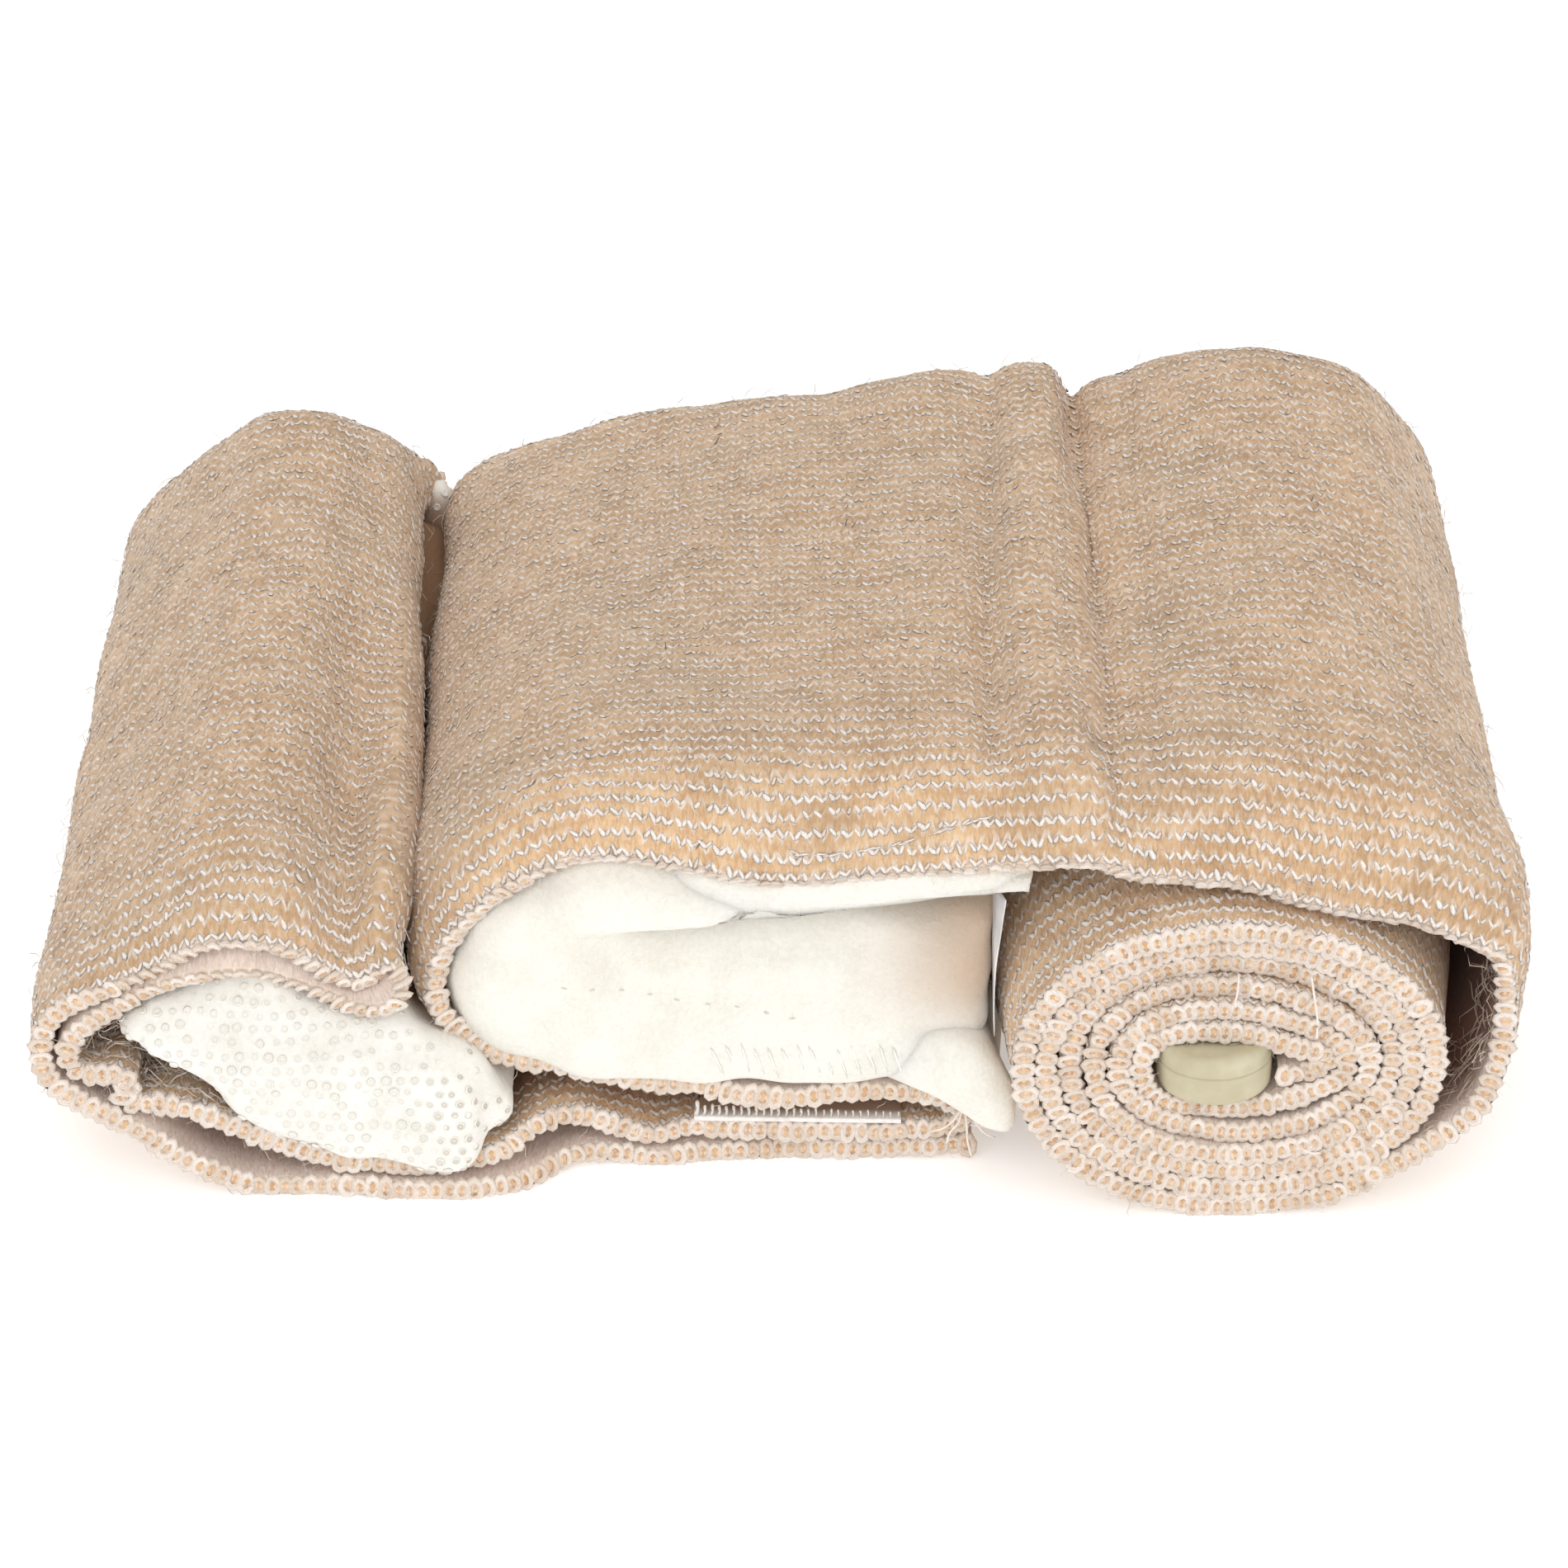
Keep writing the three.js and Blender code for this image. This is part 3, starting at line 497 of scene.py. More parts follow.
# Each crease: points in plan, depth (a ridge is negative) and half width, all in mm
COVER_CREASES = [
    ([(20.6, 47), (21.0, 35), (18.8, -11), (18.9, -38)], 0.75, 1.3),
    ([(24.0, 46), (23.6, 20), (22.6, -20), (23.6, -36)], -0.45, 1.7),
    ([(28.8, 47), (28.2, 30), (26.4, 4), (26.2, -21), (28.2, -38)], 0.8, 1.5),
    ([(34.4, 44), (34.0, 10), (34.4, -20), (33.4, -40)], 0.35, 1.1),
    ([(50.0, 33), (54.0, 10), (56.5, -6), (56.6, -23), (59.7, -39)], 0.55, 2.2),
    ([(43.0, 40), (47.0, 24), (52.0, 8), (53.6, -12)], 0.35, 2.4),
    ([(38.0, -26), (44.0, -31), (50.0, -33), (57.0, -31)], 0.3, 2.0),
    ([(-26.0, -34), (-14.0, -38), (-2.0, -37), (9.0, -36), (17.0, -33)], 0.45, 1.6),
    ([(-24.0, -18), (-10.0, -23), (6.0, -21), (17.0, -24)], 0.22, 2.6),
    ([(-22.0, 10), (-8.0, 6), (6.0, 9), (16.0, 4)], 0.16, 3.2),
    ([(-8.0, 44), (-9.0, 30), (-12.0, 12), (-13.0, -6)], 0.14, 2.2),
    ([(4.0, 46), (6.0, 32), (5.0, 18)], 0.16, 2.4),
    ([(-26.1, -45.6), (-18.3, -47.0), (-12.4, -46.7), (-6.6, -45.9), (2.0, -44.4)], 0.45, 0.8),
]
LEFT_CREASES = [
    ([(-43.0, 42), (-42.6, 10), (-41.0, -20), (-40.4, -42)], 0.5, 2.4),
    ([(-38.6, 40), (-38.8, 0), (-38.6, -40)], -0.3, 1.4),
    ([(-58.0, 20), (-50.0, 12), (-44.0, 2)], 0.22, 2.6),
    ([(-60.0, -8), (-52.0, -14), (-45.0, -12)], 0.2, 2.8),
    ([(-40.0, 4), (-44.0, -6), (-46.0, -20)], 0.3, 2.0),
]
print(len(WAVES), "waves and", len(COVER_CREASES) + len(LEFT_CREASES), "creases")

# %% Press them into the cloth
def distance_to_line(x, y, line):
    """Distances in plan from a grid of places to a line through points."""
    best = np.full(x.shape, np.inf)
    for (ax, ay), (bx, by) in zip(line, line[1:]):
        ex, ey = bx - ax, by - ay
        t = np.clip(((x - ax) * ex + (y - ay) * ey) / (ex * ex + ey * ey), 0, 1)
        best = np.minimum(best, np.hypot(x - ax - t * ex, y - ay - t * ey))
    return best


def crease_depth(grid, creases, first, last):
    """How far the creases press the rows from first to last down, as a grid of depths."""
    depth = np.zeros(grid.shape[:2])
    rows = slice(first, last)
    for line, deep, wide in creases:
        away = distance_to_line(grid[rows, :, 0], grid[rows, :, 1], line)
        depth[rows] += deep * np.exp(-(away / wide) ** 2)
    return depth


def row_near(x, z):
    """The row of the strip whose middle line passes nearest to a place on the front."""
    return int(np.argmin(np.hypot(along_rows[:, 0] - x, along_rows[:, 1] - z)))


u, v = np.meshgrid(along, ACROSS, indexing="ij")
waves = sum(high * np.sin(2 * math.pi * (u / long + v / wide) + rng.uniform(0, 2 * math.pi))
            for long, wide, high in WAVES)
in_roll = along_rows[:, 7:8]
waves *= 1 - ROLL_CALM * in_roll
pressed = crease_depth(middle, COVER_CREASES, row_near(62.0, 25.2), row_near(-29.0, 25.5))
pressed += crease_depth(middle, LEFT_CREASES, row_near(-33.9, 22.0), row_near(-65.0, 19.0))
middle += frames_of(middle)[2] * (waves + pressed)[..., None]
# The ridge of the left bundle leans on the middle's side, most of all in the front half
RIDGE_LEAN, RIDGE_REACH = 2.2, 6.0
ridge_at = along[row_near(-33.9, 21.6)]
lean = np.exp(-((u - ridge_at) / RIDGE_REACH) ** 2) * smoothstep(v, 2, 12)
middle[..., 0] += RIDGE_LEAN * lean * (1 - 1.35 * smoothstep(middle[..., 1], -25, 35))
# Along each selvedge the cloth ends a little deeper or less deep from stitch to stitch
for column, sign in ((0, 1), (len(ACROSS) - 1, -1)):
    steps = rng.normal(0, RAGGED, len(along) + RAGGED_OVER - 1)
    ragged = np.convolve(steps, np.ones(RAGGED_OVER) / RAGGED_OVER, "valid")
    fade = np.exp(-np.abs(ACROSS - ACROSS[column]) / RAGGED_DEPTH)
    middle[:, :, 1] += sign * ragged[:, None] * fade[None, :]
print("waves of", round(float(np.ptp(waves)), 2), "mm")
print("creases up to", round(float(pressed.max()), 2), "mm")

# %% [markdown]
# ## The strip as one closed sheet
#
# A knit has two faces and two rounded edges. Each row of the grid becomes a ring: along the tan outer face,
# round the back selvedge, back along the brushed inner face and round the front selvedge. The mesh carries a
# UV map in metres, along the strip and across it, and an attribute `side` that runs from -1 on the outer face
# to 1 on the inner one. The knit's pattern reads both, so it follows every fold.

# %% The ring of a sheet
EDGE_STEPS = 3


def ring_columns(grid, half, stations):
    """A ring's columns of points in their order, with the side and the place across of each."""
    _, across, normal = frames_of(grid)
    arcs = np.linspace(-math.pi / 2, math.pi / 2, EDGE_STEPS + 2)[1:-1]
    ring = [(grid[:, j] - normal[:, j] * half, -1.0, at) for j, at in enumerate(stations)]
    for phi in arcs:
        out = across[:, -1] * math.cos(phi) + normal[:, -1] * math.sin(phi)
        ring.append((grid[:, -1] + out * half, math.sin(phi), stations[-1] + half * math.cos(phi)))
    for j in reversed(range(len(stations))):
        ring.append((grid[:, j] + normal[:, j] * half, 1.0, stations[j]))
    for phi in arcs[::-1]:
        out = -across[:, 0] * math.cos(phi) + normal[:, 0] * math.sin(phi)
        ring.append((grid[:, 0] + out * half, math.sin(phi), stations[0] - half * math.cos(phi)))
    return zip(*ring)


def end_caps(index, count):
    """Faces that close a sheet's two ends, between the count stations of its outer and its inner face."""
    caps = []
    for ring, turned in ((index[0], -1), (index[-1], 1)):
        outer = ring[:count]
        inner = ring[count + EDGE_STEPS:2 * count + EDGE_STEPS][::-1]
        cap = [[outer[j], outer[j + 1], inner[j + 1], inner[j]] for j in range(count - 1)]
        cap.append([outer[-1], *ring[count:count + EDGE_STEPS], inner[-1]])
        cap.append([inner[0], *ring[2 * count + EDGE_STEPS:], outer[0]])
        caps += [[int(point) for point in face[::turned]] for face in cap]
    return caps


# %% The sheet's mesh
def ring_sheet(name, grid, thickness, run, stations):
    """A closed sheet with round selvedges on a grid of middle points."""
    columns, sides, places = ring_columns(grid, thickness / 2, stations)
    points = np.stack(columns, axis=1)
    rows, count = points.shape[:2]
    index = np.arange(rows * count).reshape(rows, count)
    following = np.roll(index, -1, axis=1)
    quads = np.stack([index[:-1], following[:-1], following[1:], index[1:]], axis=-1).reshape(-1, 4)
    obj = make_object(name, points.reshape(-1, 3), quads.tolist() + end_caps(index, len(stations)))
    store(obj.data, "side", np.tile(sides, rows))
    corners = np.empty(len(obj.data.loops), np.int32)
    obj.data.loops.foreach_get("vertex_index", corners)
    uv = np.column_stack([np.repeat(run, count), np.tile(places, rows)]) * MM
    layer = obj.data.uv_layers.new(name="cloth")
    layer.data.foreach_set("uv", uv[corners].ravel().astype(np.float32))
    return obj


wrap = ring_sheet("knitted_strip", middle, CLOTH, along, ACROSS)
print("the sheet has", len(wrap.data.vertices), "points")

# %% [markdown]
# ## Node helpers for the finishes
#
# Every finish is a tree of nodes. A few small helpers keep the trees short: they add a node and fill its
# sockets with values or links, do a sum, blend two colours, or fetch what a texture or the mesh gives.

# %% Helpers for node trees
def fill(tree, node, inputs):
    """Fills sockets, by name or number, each with a value or a link from another node's socket."""
    for key, value in inputs.items():
        if isinstance(value, bpy.types.NodeSocket):
            tree.links.new(value, node.inputs[key])
        else:
            node.inputs[key].default_value = value
    return node


def add_node(tree, kind, inputs=None, **settings):
    """Adds a node with its settings, and fills its sockets."""
    node = tree.nodes.new(kind)
    for key, value in settings.items():
        setattr(node, key, value)
    return fill(tree, node, inputs or {})


def calc(tree, operation, *values, clamp=False):
    """The output of a Math node on one to three values or sockets."""
    node = add_node(tree, "ShaderNodeMath", dict(enumerate(values)), operation=operation, use_clamp=clamp)
    return node.outputs[0]


def vector_calc(tree, operation, inputs):
    """The output of a Vector Math node."""
    return add_node(tree, "ShaderNodeVectorMath", inputs, operation=operation).outputs[0]


def weighted(tree, first, *rest, clamp=False):
    """A sum of sockets, each given with its weight."""
    share = calc(tree, "MULTIPLY", *first)
    if not rest:
        return share
    return calc(tree, "ADD", share, weighted(tree, *rest), clamp=clamp)


def ramp(tree, value, low, high, out_low=0.0, out_high=1.0):
    """A smooth step of a value between two limits."""
    node = add_node(tree, "ShaderNodeMapRange", {0: value, 1: low, 2: high, 3: out_low, 4: out_high},
                    interpolation_type="SMOOTHSTEP")
    return node.outputs[0]


def mix_colour(tree, factor, first, second):
    """A blend of two colours, each a socket or a tuple."""
    first, second = ((*colour, 1.0) if isinstance(colour, tuple) else colour for colour in (first, second))
    given = {0: factor, 6: first, 7: second}
    return add_node(tree, "ShaderNodeMix", given, data_type="RGBA", clamp_factor=True).outputs[2]


# %% Helpers for what textures and meshes give
def object_place(tree):
    """The place on the object."""
    return add_node(tree, "ShaderNodeTexCoord").outputs["Object"]


def parts_of(tree, vector):
    """The three numbers of a vector."""
    return add_node(tree, "ShaderNodeSeparateXYZ", {0: vector}).outputs


def stored(tree, label, output="Fac"):
    """A number that the mesh keeps for each point, or a direction with the output Vector."""
    return add_node(tree, "ShaderNodeAttribute", attribute_name=label).outputs[output]


def noise(tree, place, scale, detail=2.0, roughness=0.5):
    """The value of a noise texture."""
    given = {"Vector": place, "Scale": scale, "Detail": detail, "Roughness": roughness}
    return add_node(tree, "ShaderNodeTexNoise", given).outputs["Fac"]


def bump(tree, height, strength, distance, **inputs):
    """A normal that follows a height, over a distance in mm."""
    given = {"Height": height, "Strength": strength, "Distance": distance * MM, **inputs}
    return add_node(tree, "ShaderNodeBump", given).outputs[0]


# %% Helpers for groups and materials
def new_group(name, inputs, outputs):
    """A shader node group with named inputs, each with its first value, and named outputs."""
    group = bpy.data.node_groups.new(name, "ShaderNodeTree")
    for label, kind, value in inputs:
        socket = group.interface.new_socket(name=label, in_out="INPUT", socket_type=kind)
        if value is not None:
            socket.default_value = value
    for label, kind in outputs:
        group.interface.new_socket(name=label, in_out="OUTPUT", socket_type=kind)
    return group, group.nodes.new("NodeGroupInput"), group.nodes.new("NodeGroupOutput")


def new_material(name):
    """A material with its Principled shader, and the tree that they live in."""
    material = bpy.data.materials.new(name)
    material.use_nodes = True
    tree = material.node_tree
    return material, tree, tree.nodes["Principled BSDF"]


def place_group(tree, group, inputs):
    """The outputs of a node group that is set in a tree."""
    return add_node(tree, "ShaderNodeGroup", inputs, node_tree=group).outputs


# %% [markdown]
# ## A shared group: fibre streaks
#
# Every cloth here is brushed, so its surface is full of fine fibres. One group makes them for all: a noise
# drawn out along one direction, with a softer one for clumps. Each material gives it its own sizes.

# %% Fibre streaks
VALUE, VECTOR = "NodeSocketFloat", "NodeSocketVector"
fibre_group, fibre_in, fibre_out = new_group(
    "fibre_streaks",
    [("Place", VECTOR, None), ("Fine", VALUE, 900.0), ("Drawn out", VALUE, 0.3), ("Clumps", VALUE, 260.0)],
    [("Streaks", VALUE), ("Clumping", VALUE)],
)
stretch = add_node(fibre_group, "ShaderNodeCombineXYZ",
                   {"X": 1.0, "Y": fibre_in.outputs["Drawn out"], "Z": 1.0})
drawn = vector_calc(fibre_group, "MULTIPLY", {0: fibre_in.outputs["Place"], 1: stretch.outputs[0]})
fine = add_node(fibre_group, "ShaderNodeTexNoise", {
    "Vector": drawn, "Scale": fibre_in.outputs["Fine"], "Detail": 3.0, "Roughness": 0.65, "Distortion": 0.6,
})
clumps = noise(fibre_group, fibre_in.outputs["Place"], fibre_in.outputs["Clumps"])
fill(fibre_group, fibre_out, {"Streaks": fine.outputs["Fac"], "Clumping": clumps})


def fibres(tree, place, fine, drawn_out, clumps):
    """Fine streaks and soft clumps of fibre."""
    given = {"Place": place, "Fine": fine, "Drawn out": drawn_out, "Clumps": clumps}
    return place_group(tree, fibre_group, given)


print("group", fibre_group.name, "is ready")

# %% [markdown]
# ## The knit
#
# On the outer face white yarn runs in rows of small arches that meet in points, between legs of tan yarn. The
# pattern is a sum on the UV map: half a sine wave along the strip says how high the white yarn stands in its
# row, and the distance to that line gives its mask. The yarn shows most at the points and sinks into the tan
# at the top of each arch. Inside each point there is a small pit, darkened with painted shade, and a little
# painted shade lies under each arch.

# %% Knit rows
ROW = 1.62
ROW_OFFSET = 0.22  # where the first row starts, as a share of a row
knit_group, knit_in, knit_out = new_group(
    "knit_rows",
    [("Place", VECTOR, None), ("Stitch", VALUE, STITCH * MM), ("Row", VALUE, ROW * MM), ("Rise", VALUE, 0.5),
     ("Yarn", VALUE, 0.22), ("Wander", VALUE, 0.0011)],
    [("White", VALUE), ("Height", VALUE), ("Pit shade", VALUE), ("Each stitch", VALUE)],
)


def knit_calc(operation, *values):
    """A sum in the knit's group."""
    return calc(knit_group, operation, *values)


wander = add_node(knit_group, "ShaderNodeTexNoise",
                  {"Vector": knit_in.outputs["Place"], "Scale": 380.0, "Detail": 2.0, "Roughness": 0.65})
wander = vector_calc(knit_group, "SUBTRACT", {0: wander.outputs["Color"], 1: (0.5, 0.5, 0.5)})
wander = vector_calc(knit_group, "SCALE", {0: wander, "Scale": knit_in.outputs["Wander"]})
placed = parts_of(knit_group, vector_calc(knit_group, "ADD", {0: knit_in.outputs["Place"], 1: wander}))
stitches = knit_calc("DIVIDE", placed[0], knit_in.outputs["Stitch"])
rows_up = knit_calc("DIVIDE", placed[1], knit_in.outputs["Row"])
arch = knit_calc("ABSOLUTE", knit_calc("SINE", knit_calc("MULTIPLY", stitches, math.pi)))
row_at = knit_calc("SUBTRACT", knit_calc("FRACT", rows_up), ROW_OFFSET)
line_at = knit_calc("MULTIPLY", arch, knit_in.outputs["Rise"])
distance = knit_calc("ABSOLUTE", knit_calc("SUBTRACT", row_at, line_at))
slope = knit_calc("SUBTRACT", 1.0, knit_calc("MULTIPLY", arch, 0.35))
white_line = ramp(knit_group, knit_calc("MULTIPLY", distance, slope), knit_in.outputs["Yarn"], 0.02)
sunk = ramp(knit_group, arch, 1.0, 0.72, 0.55, 1.0)
shown = knit_calc("MULTIPLY", white_line, sunk)
print("the white rows take", len(knit_group.nodes), "nodes")

# %% Pits, legs and height of the knit
PIT_AT = 0.27  # above the row's line, as a share of a row
inside_point = ramp(knit_group, arch, 0.55, 0.1)
above_point = ramp(knit_group, knit_calc("ABSOLUTE", knit_calc("SUBTRACT", row_at, PIT_AT)), 0.2, 0.04)
pits = knit_calc("MULTIPLY", inside_point, above_point)
# Painted shade under each arch, for the colour only
shade_under_arch = ramp(knit_group, knit_calc("SUBTRACT", line_at, row_at), 0.1, 0.34)
legs = knit_calc("MULTIPLY", ramp(knit_group, arch, 0.1, 0.9), 0.5)
raised = knit_calc("ADD", knit_calc("MULTIPLY", shown, 0.7), legs)
cell = add_node(knit_group, "ShaderNodeCombineXYZ", {
    0: knit_calc("FLOOR", knit_calc("MULTIPLY", stitches, 2.0)),
    1: knit_calc("FLOOR", rows_up),
})
each = add_node(knit_group, "ShaderNodeTexWhiteNoise", {0: cell.outputs[0]}, noise_dimensions="2D")
# The pits' colour output is painted shade, in the pits and under each arch; their dents go into Height
fill(knit_group, knit_out, {
    "White": shown,
    "Height": knit_calc("SUBTRACT", raised, knit_calc("MULTIPLY", pits, 0.5)),
    "Pit shade": knit_calc("MAXIMUM", pits, knit_calc("MULTIPLY", shade_under_arch, 0.25)),
    "Each stitch": each.outputs["Value"],
})
print("group", knit_group.name, "is ready")

# %% The knit's material
TAN_DEEP = (0.462, 0.284, 0.15)
TAN_LIGHT = (0.722, 0.493, 0.306)
# Painted warm bounce light: the next two tans
TAN_BOUNCE_LIT_DEEP = (0.62, 0.37, 0.19)
TAN_BOUNCE_LIT_LIGHT = (0.84, 0.59, 0.36)
YARN_GREY = (0.66, 0.58, 0.50)
YARN_WHITE = (0.93, 0.85, 0.78)
# The next colour is painted shade in the knit's pits and under its arches
PIT_SHADE_BROWN = (0.20, 0.125, 0.065)
INNER_PINK = (0.88, 0.76, 0.69)
INNER_SHADE = (0.72, 0.57, 0.49)
GAP_BROWN = (0.32, 0.12, 0.05)
BLOTCH_BROWN = (0.42, 0.335, 0.235)
# Where the painted bounce light lies: its depth behind a selvedge, the middle's offset in x, and its reach
# from there
BOUNCE_LIGHT_EDGE = 11.0 * MM
BOUNCE_LIGHT_CENTRE = 3.0 * MM
BOUNCE_LIGHT_REACH = 34.0 * MM


def tan_tones(tree, place, from_edge, streaks):
    """The tan cloth's colour with painted warm bounce light near the selvedges of the middle, and the
    bounce-lit tan alone.
    """
    from_middle = calc(tree, "ABSOLUTE", calc(tree, "ADD", parts_of(tree, place)[0], BOUNCE_LIGHT_CENTRE))
    patches = noise(tree, place, 210.0)
    bounce_light = calc(tree, "MULTIPLY", ramp(tree, from_edge, BOUNCE_LIGHT_EDGE * 1.25, BOUNCE_LIGHT_EDGE * 0.6),
                ramp(tree, patches, 0.3, 0.6, 0.6, 1.0))
    bounce_light = calc(tree, "MULTIPLY", bounce_light, ramp(tree, from_middle, BOUNCE_LIGHT_REACH, BOUNCE_LIGHT_REACH * 0.7, 0.2, 1.0))
    lift = ramp(tree, weighted(tree, (streaks, 0.6), (patches, 0.4)), 0.34, 0.66)
    cool_tan = mix_colour(tree, lift, TAN_DEEP, TAN_LIGHT)
    bounce_lit_tan = mix_colour(tree, lift, TAN_BOUNCE_LIT_DEEP, TAN_BOUNCE_LIT_LIGHT)
    return mix_colour(tree, bounce_light, cool_tan, bounce_lit_tan), bounce_lit_tan


def outer_tone(tree, knit, tan, streaks, clumping):
    """The outer face: tan with painted shade in its pits and under its arches, and the soft white rows on it.
    """
    each = knit["Each stitch"]
    tan = mix_colour(tree, calc(tree, "MULTIPLY", knit["Pit shade"], 0.22), tan, PIT_SHADE_BROWN)
    broken = ramp(tree, weighted(tree, (streaks, 0.35), (clumping, 0.4), (each, 0.25)), 0.36, 0.56, 0.3, 1.0)
    yarn = mix_colour(tree, weighted(tree, (each, 0.6), (streaks, 0.5), clamp=True), YARN_GREY, YARN_WHITE)
    halo = calc(tree, "MULTIPLY", calc(tree, "MULTIPLY", knit["White"], broken), 0.8)
    return mix_colour(tree, halo, tan, yarn)


def selvedge_tone(tree, along_uv, side, bounce_lit_tan):
    """The selvedges: bars of white yarn on the tan with painted warm bounce light."""
    stitch_share = calc(tree, "FRACT", calc(tree, "DIVIDE", along_uv, STITCH * MM))
    bars = ramp(tree, calc(tree, "ABSOLUTE", calc(tree, "SUBTRACT", stitch_share, 0.5)), 0.3, 0.46)
    rims = ramp(tree, calc(tree, "ABSOLUTE", side), 0.7, 0.95, 0.0, 0.85)
    white = calc(tree, "MAXIMUM", calc(tree, "MAXIMUM", bars, rims), 0.45)
    return mix_colour(tree, white, bounce_lit_tan, YARN_WHITE)


# %% The knit's material, put together
def knit_material():
    """Tan and white knit outside, brushed pinkish white inside, and bars of yarn round the selvedges."""
    material, tree, shader = new_material("knitted_elastic")
    uv = add_node(tree, "ShaderNodeUVMap", uv_map="cloth").outputs[0]
    along_uv, across_uv, _ = parts_of(tree, uv)
    side, place = stored(tree, "side"), object_place(tree)
    knit = place_group(tree, knit_group, {"Place": uv})
    streaks, clumping = fibres(tree, uv, 3000.0, 0.3, 620.0)
    from_edge = calc(tree, "MINIMUM", across_uv, calc(tree, "SUBTRACT", STRIP_WIDTH * MM, across_uv))
    # Near the selvedges of the middle the tan takes painted warm bounce light
    tan, bounce_lit_tan = tan_tones(tree, place, from_edge, streaks)
    outer = outer_tone(tree, knit, tan, streaks, clumping)
    pink = mix_colour(tree, ramp(tree, streaks, 0.3, 0.7), INNER_SHADE, INNER_PINK)
    inside = ramp(tree, side, 0.86, 0.99)
    outside = ramp(tree, side, -0.86, -0.99)
    colour = mix_colour(tree, inside, selvedge_tone(tree, along_uv, side, bounce_lit_tan), pink)
    colour = mix_colour(tree, outside, colour, outer)
    blotches = noise(tree, place, 48.0, 3.0, 0.6)
    colour = mix_colour(tree, ramp(tree, blotches, 0.4, 0.72, 0.0, 0.25), colour, BLOTCH_BROWN)
    relief = weighted(tree, (calc(tree, "MULTIPLY", knit["Height"], outside), 0.35), (streaks, 0.7))
    fill(tree, shader, {
        "Base Color": mix_colour(tree, stored(tree, "shade"), colour, GAP_BROWN),
        "Roughness": 0.95, "Specular IOR Level": 0.12, "Sheen Weight": 0.2, "Sheen Roughness": 0.6,
        "Normal": bump(tree, relief, 0.8, 0.4),
    })
    return material


knit_cloth = knit_material()
add_to_object(wrap, knit_cloth, stands_for=["elastic_wrap"])

# %% [markdown]
# ## Pieces set on points
#
# Stitches, selvedge loops, hooks and hairs are each one small shape, repeated. One Geometry Nodes tree makes
# them all. It reads each point's direction, facing and size from attributes, sets the shape there with a
# little random turn and size, and realizes the instances, so that the result is a plain mesh.

# %% A tree that sets pieces on points
def pieces_tree():
    """Sets a shape on every point, with a loose turn and size, and realizes the pieces."""
    tree = bpy.data.node_groups.new("pieces_on_points", "GeometryNodeTree")
    tree.is_modifier = True
    sockets = {"Points": "NodeSocketGeometry", "Shape": "NodeSocketObject", "Seed": "NodeSocketInt",
               "Finish": "NodeSocketMaterial", "Size jitter": VALUE, "Turn jitter": VALUE}
    for label, kind in sockets.items():
        tree.interface.new_socket(name=label, in_out="INPUT", socket_type=kind)
    tree.interface.new_socket(name="Pieces", in_out="OUTPUT", socket_type="NodeSocketGeometry")
    given = tree.nodes.new("NodeGroupInput").outputs
    kept = {}
    for label in ("along", "facing", "size"):
        kept[label] = add_node(tree, "GeometryNodeInputNamedAttribute", {"Name": label},
                               data_type="FLOAT_VECTOR").outputs[0]
    upright = add_node(tree, "FunctionNodeAlignRotationToVector", {"Vector": kept["facing"]}, axis="Z")
    aligned = add_node(tree, "FunctionNodeAlignRotationToVector",
                       {"Rotation": upright.outputs[0], "Vector": kept["along"]}, axis="X", pivot_axis="Z")
    loose = add_node(tree, "FunctionNodeRandomValue", {0: (-1, -1, -1), 1: (1, 1, 1), "Seed": given["Seed"]},
                     data_type="FLOAT_VECTOR")
    turn = vector_calc(tree, "SCALE", {0: loose.outputs[0], "Scale": given["Turn jitter"]})
    turned = add_node(tree, "FunctionNodeRotateRotation", {
        "Rotation": aligned.outputs[0],
        "Rotate By": add_node(tree, "FunctionNodeEulerToRotation", {0: turn}).outputs[0],
    }, rotation_space="LOCAL")
    uneven = add_node(tree, "FunctionNodeRandomValue",
                      {2: -1.0, 3: 1.0, "Seed": calc(tree, "ADD", given["Seed"], 1.0)}, data_type="FLOAT")
    grown = calc(tree, "MULTIPLY_ADD", uneven.outputs[1], given["Size jitter"], 1.0)
    shape = add_node(tree, "GeometryNodeObjectInfo", {"Object": given["Shape"]})
    pieces = add_node(tree, "GeometryNodeInstanceOnPoints", {
        "Points": given["Points"], "Instance": shape.outputs["Geometry"], "Rotation": turned.outputs[0],
        "Scale": vector_calc(tree, "SCALE", {0: kept["size"], "Scale": grown}),
    })
    realized = add_node(tree, "GeometryNodeRealizeInstances", {0: pieces.outputs[0]})
    finished = add_node(tree, "GeometryNodeSetMaterial",
                        {"Geometry": realized.outputs[0], "Material": given["Finish"]})
    tree.links.new(finished.outputs[0], tree.nodes.new("NodeGroupOutput").inputs[0])
    return tree


on_points = pieces_tree()
print("tree", on_points.name, "has", len(on_points.nodes), "nodes")

# %% Set a shape on points
def apply_modifiers(obj):
    """Turns the evaluated object into plain mesh data."""
    bpy.context.view_layer.update()
    graph = bpy.context.evaluated_depsgraph_get()
    mesh = bpy.data.meshes.new_from_object(obj.evaluated_get(graph))
    obj.modifiers.clear()
    old = obj.data
    obj.data = mesh
    bpy.data.meshes.remove(old)
    mesh.shade_smooth()
    return obj


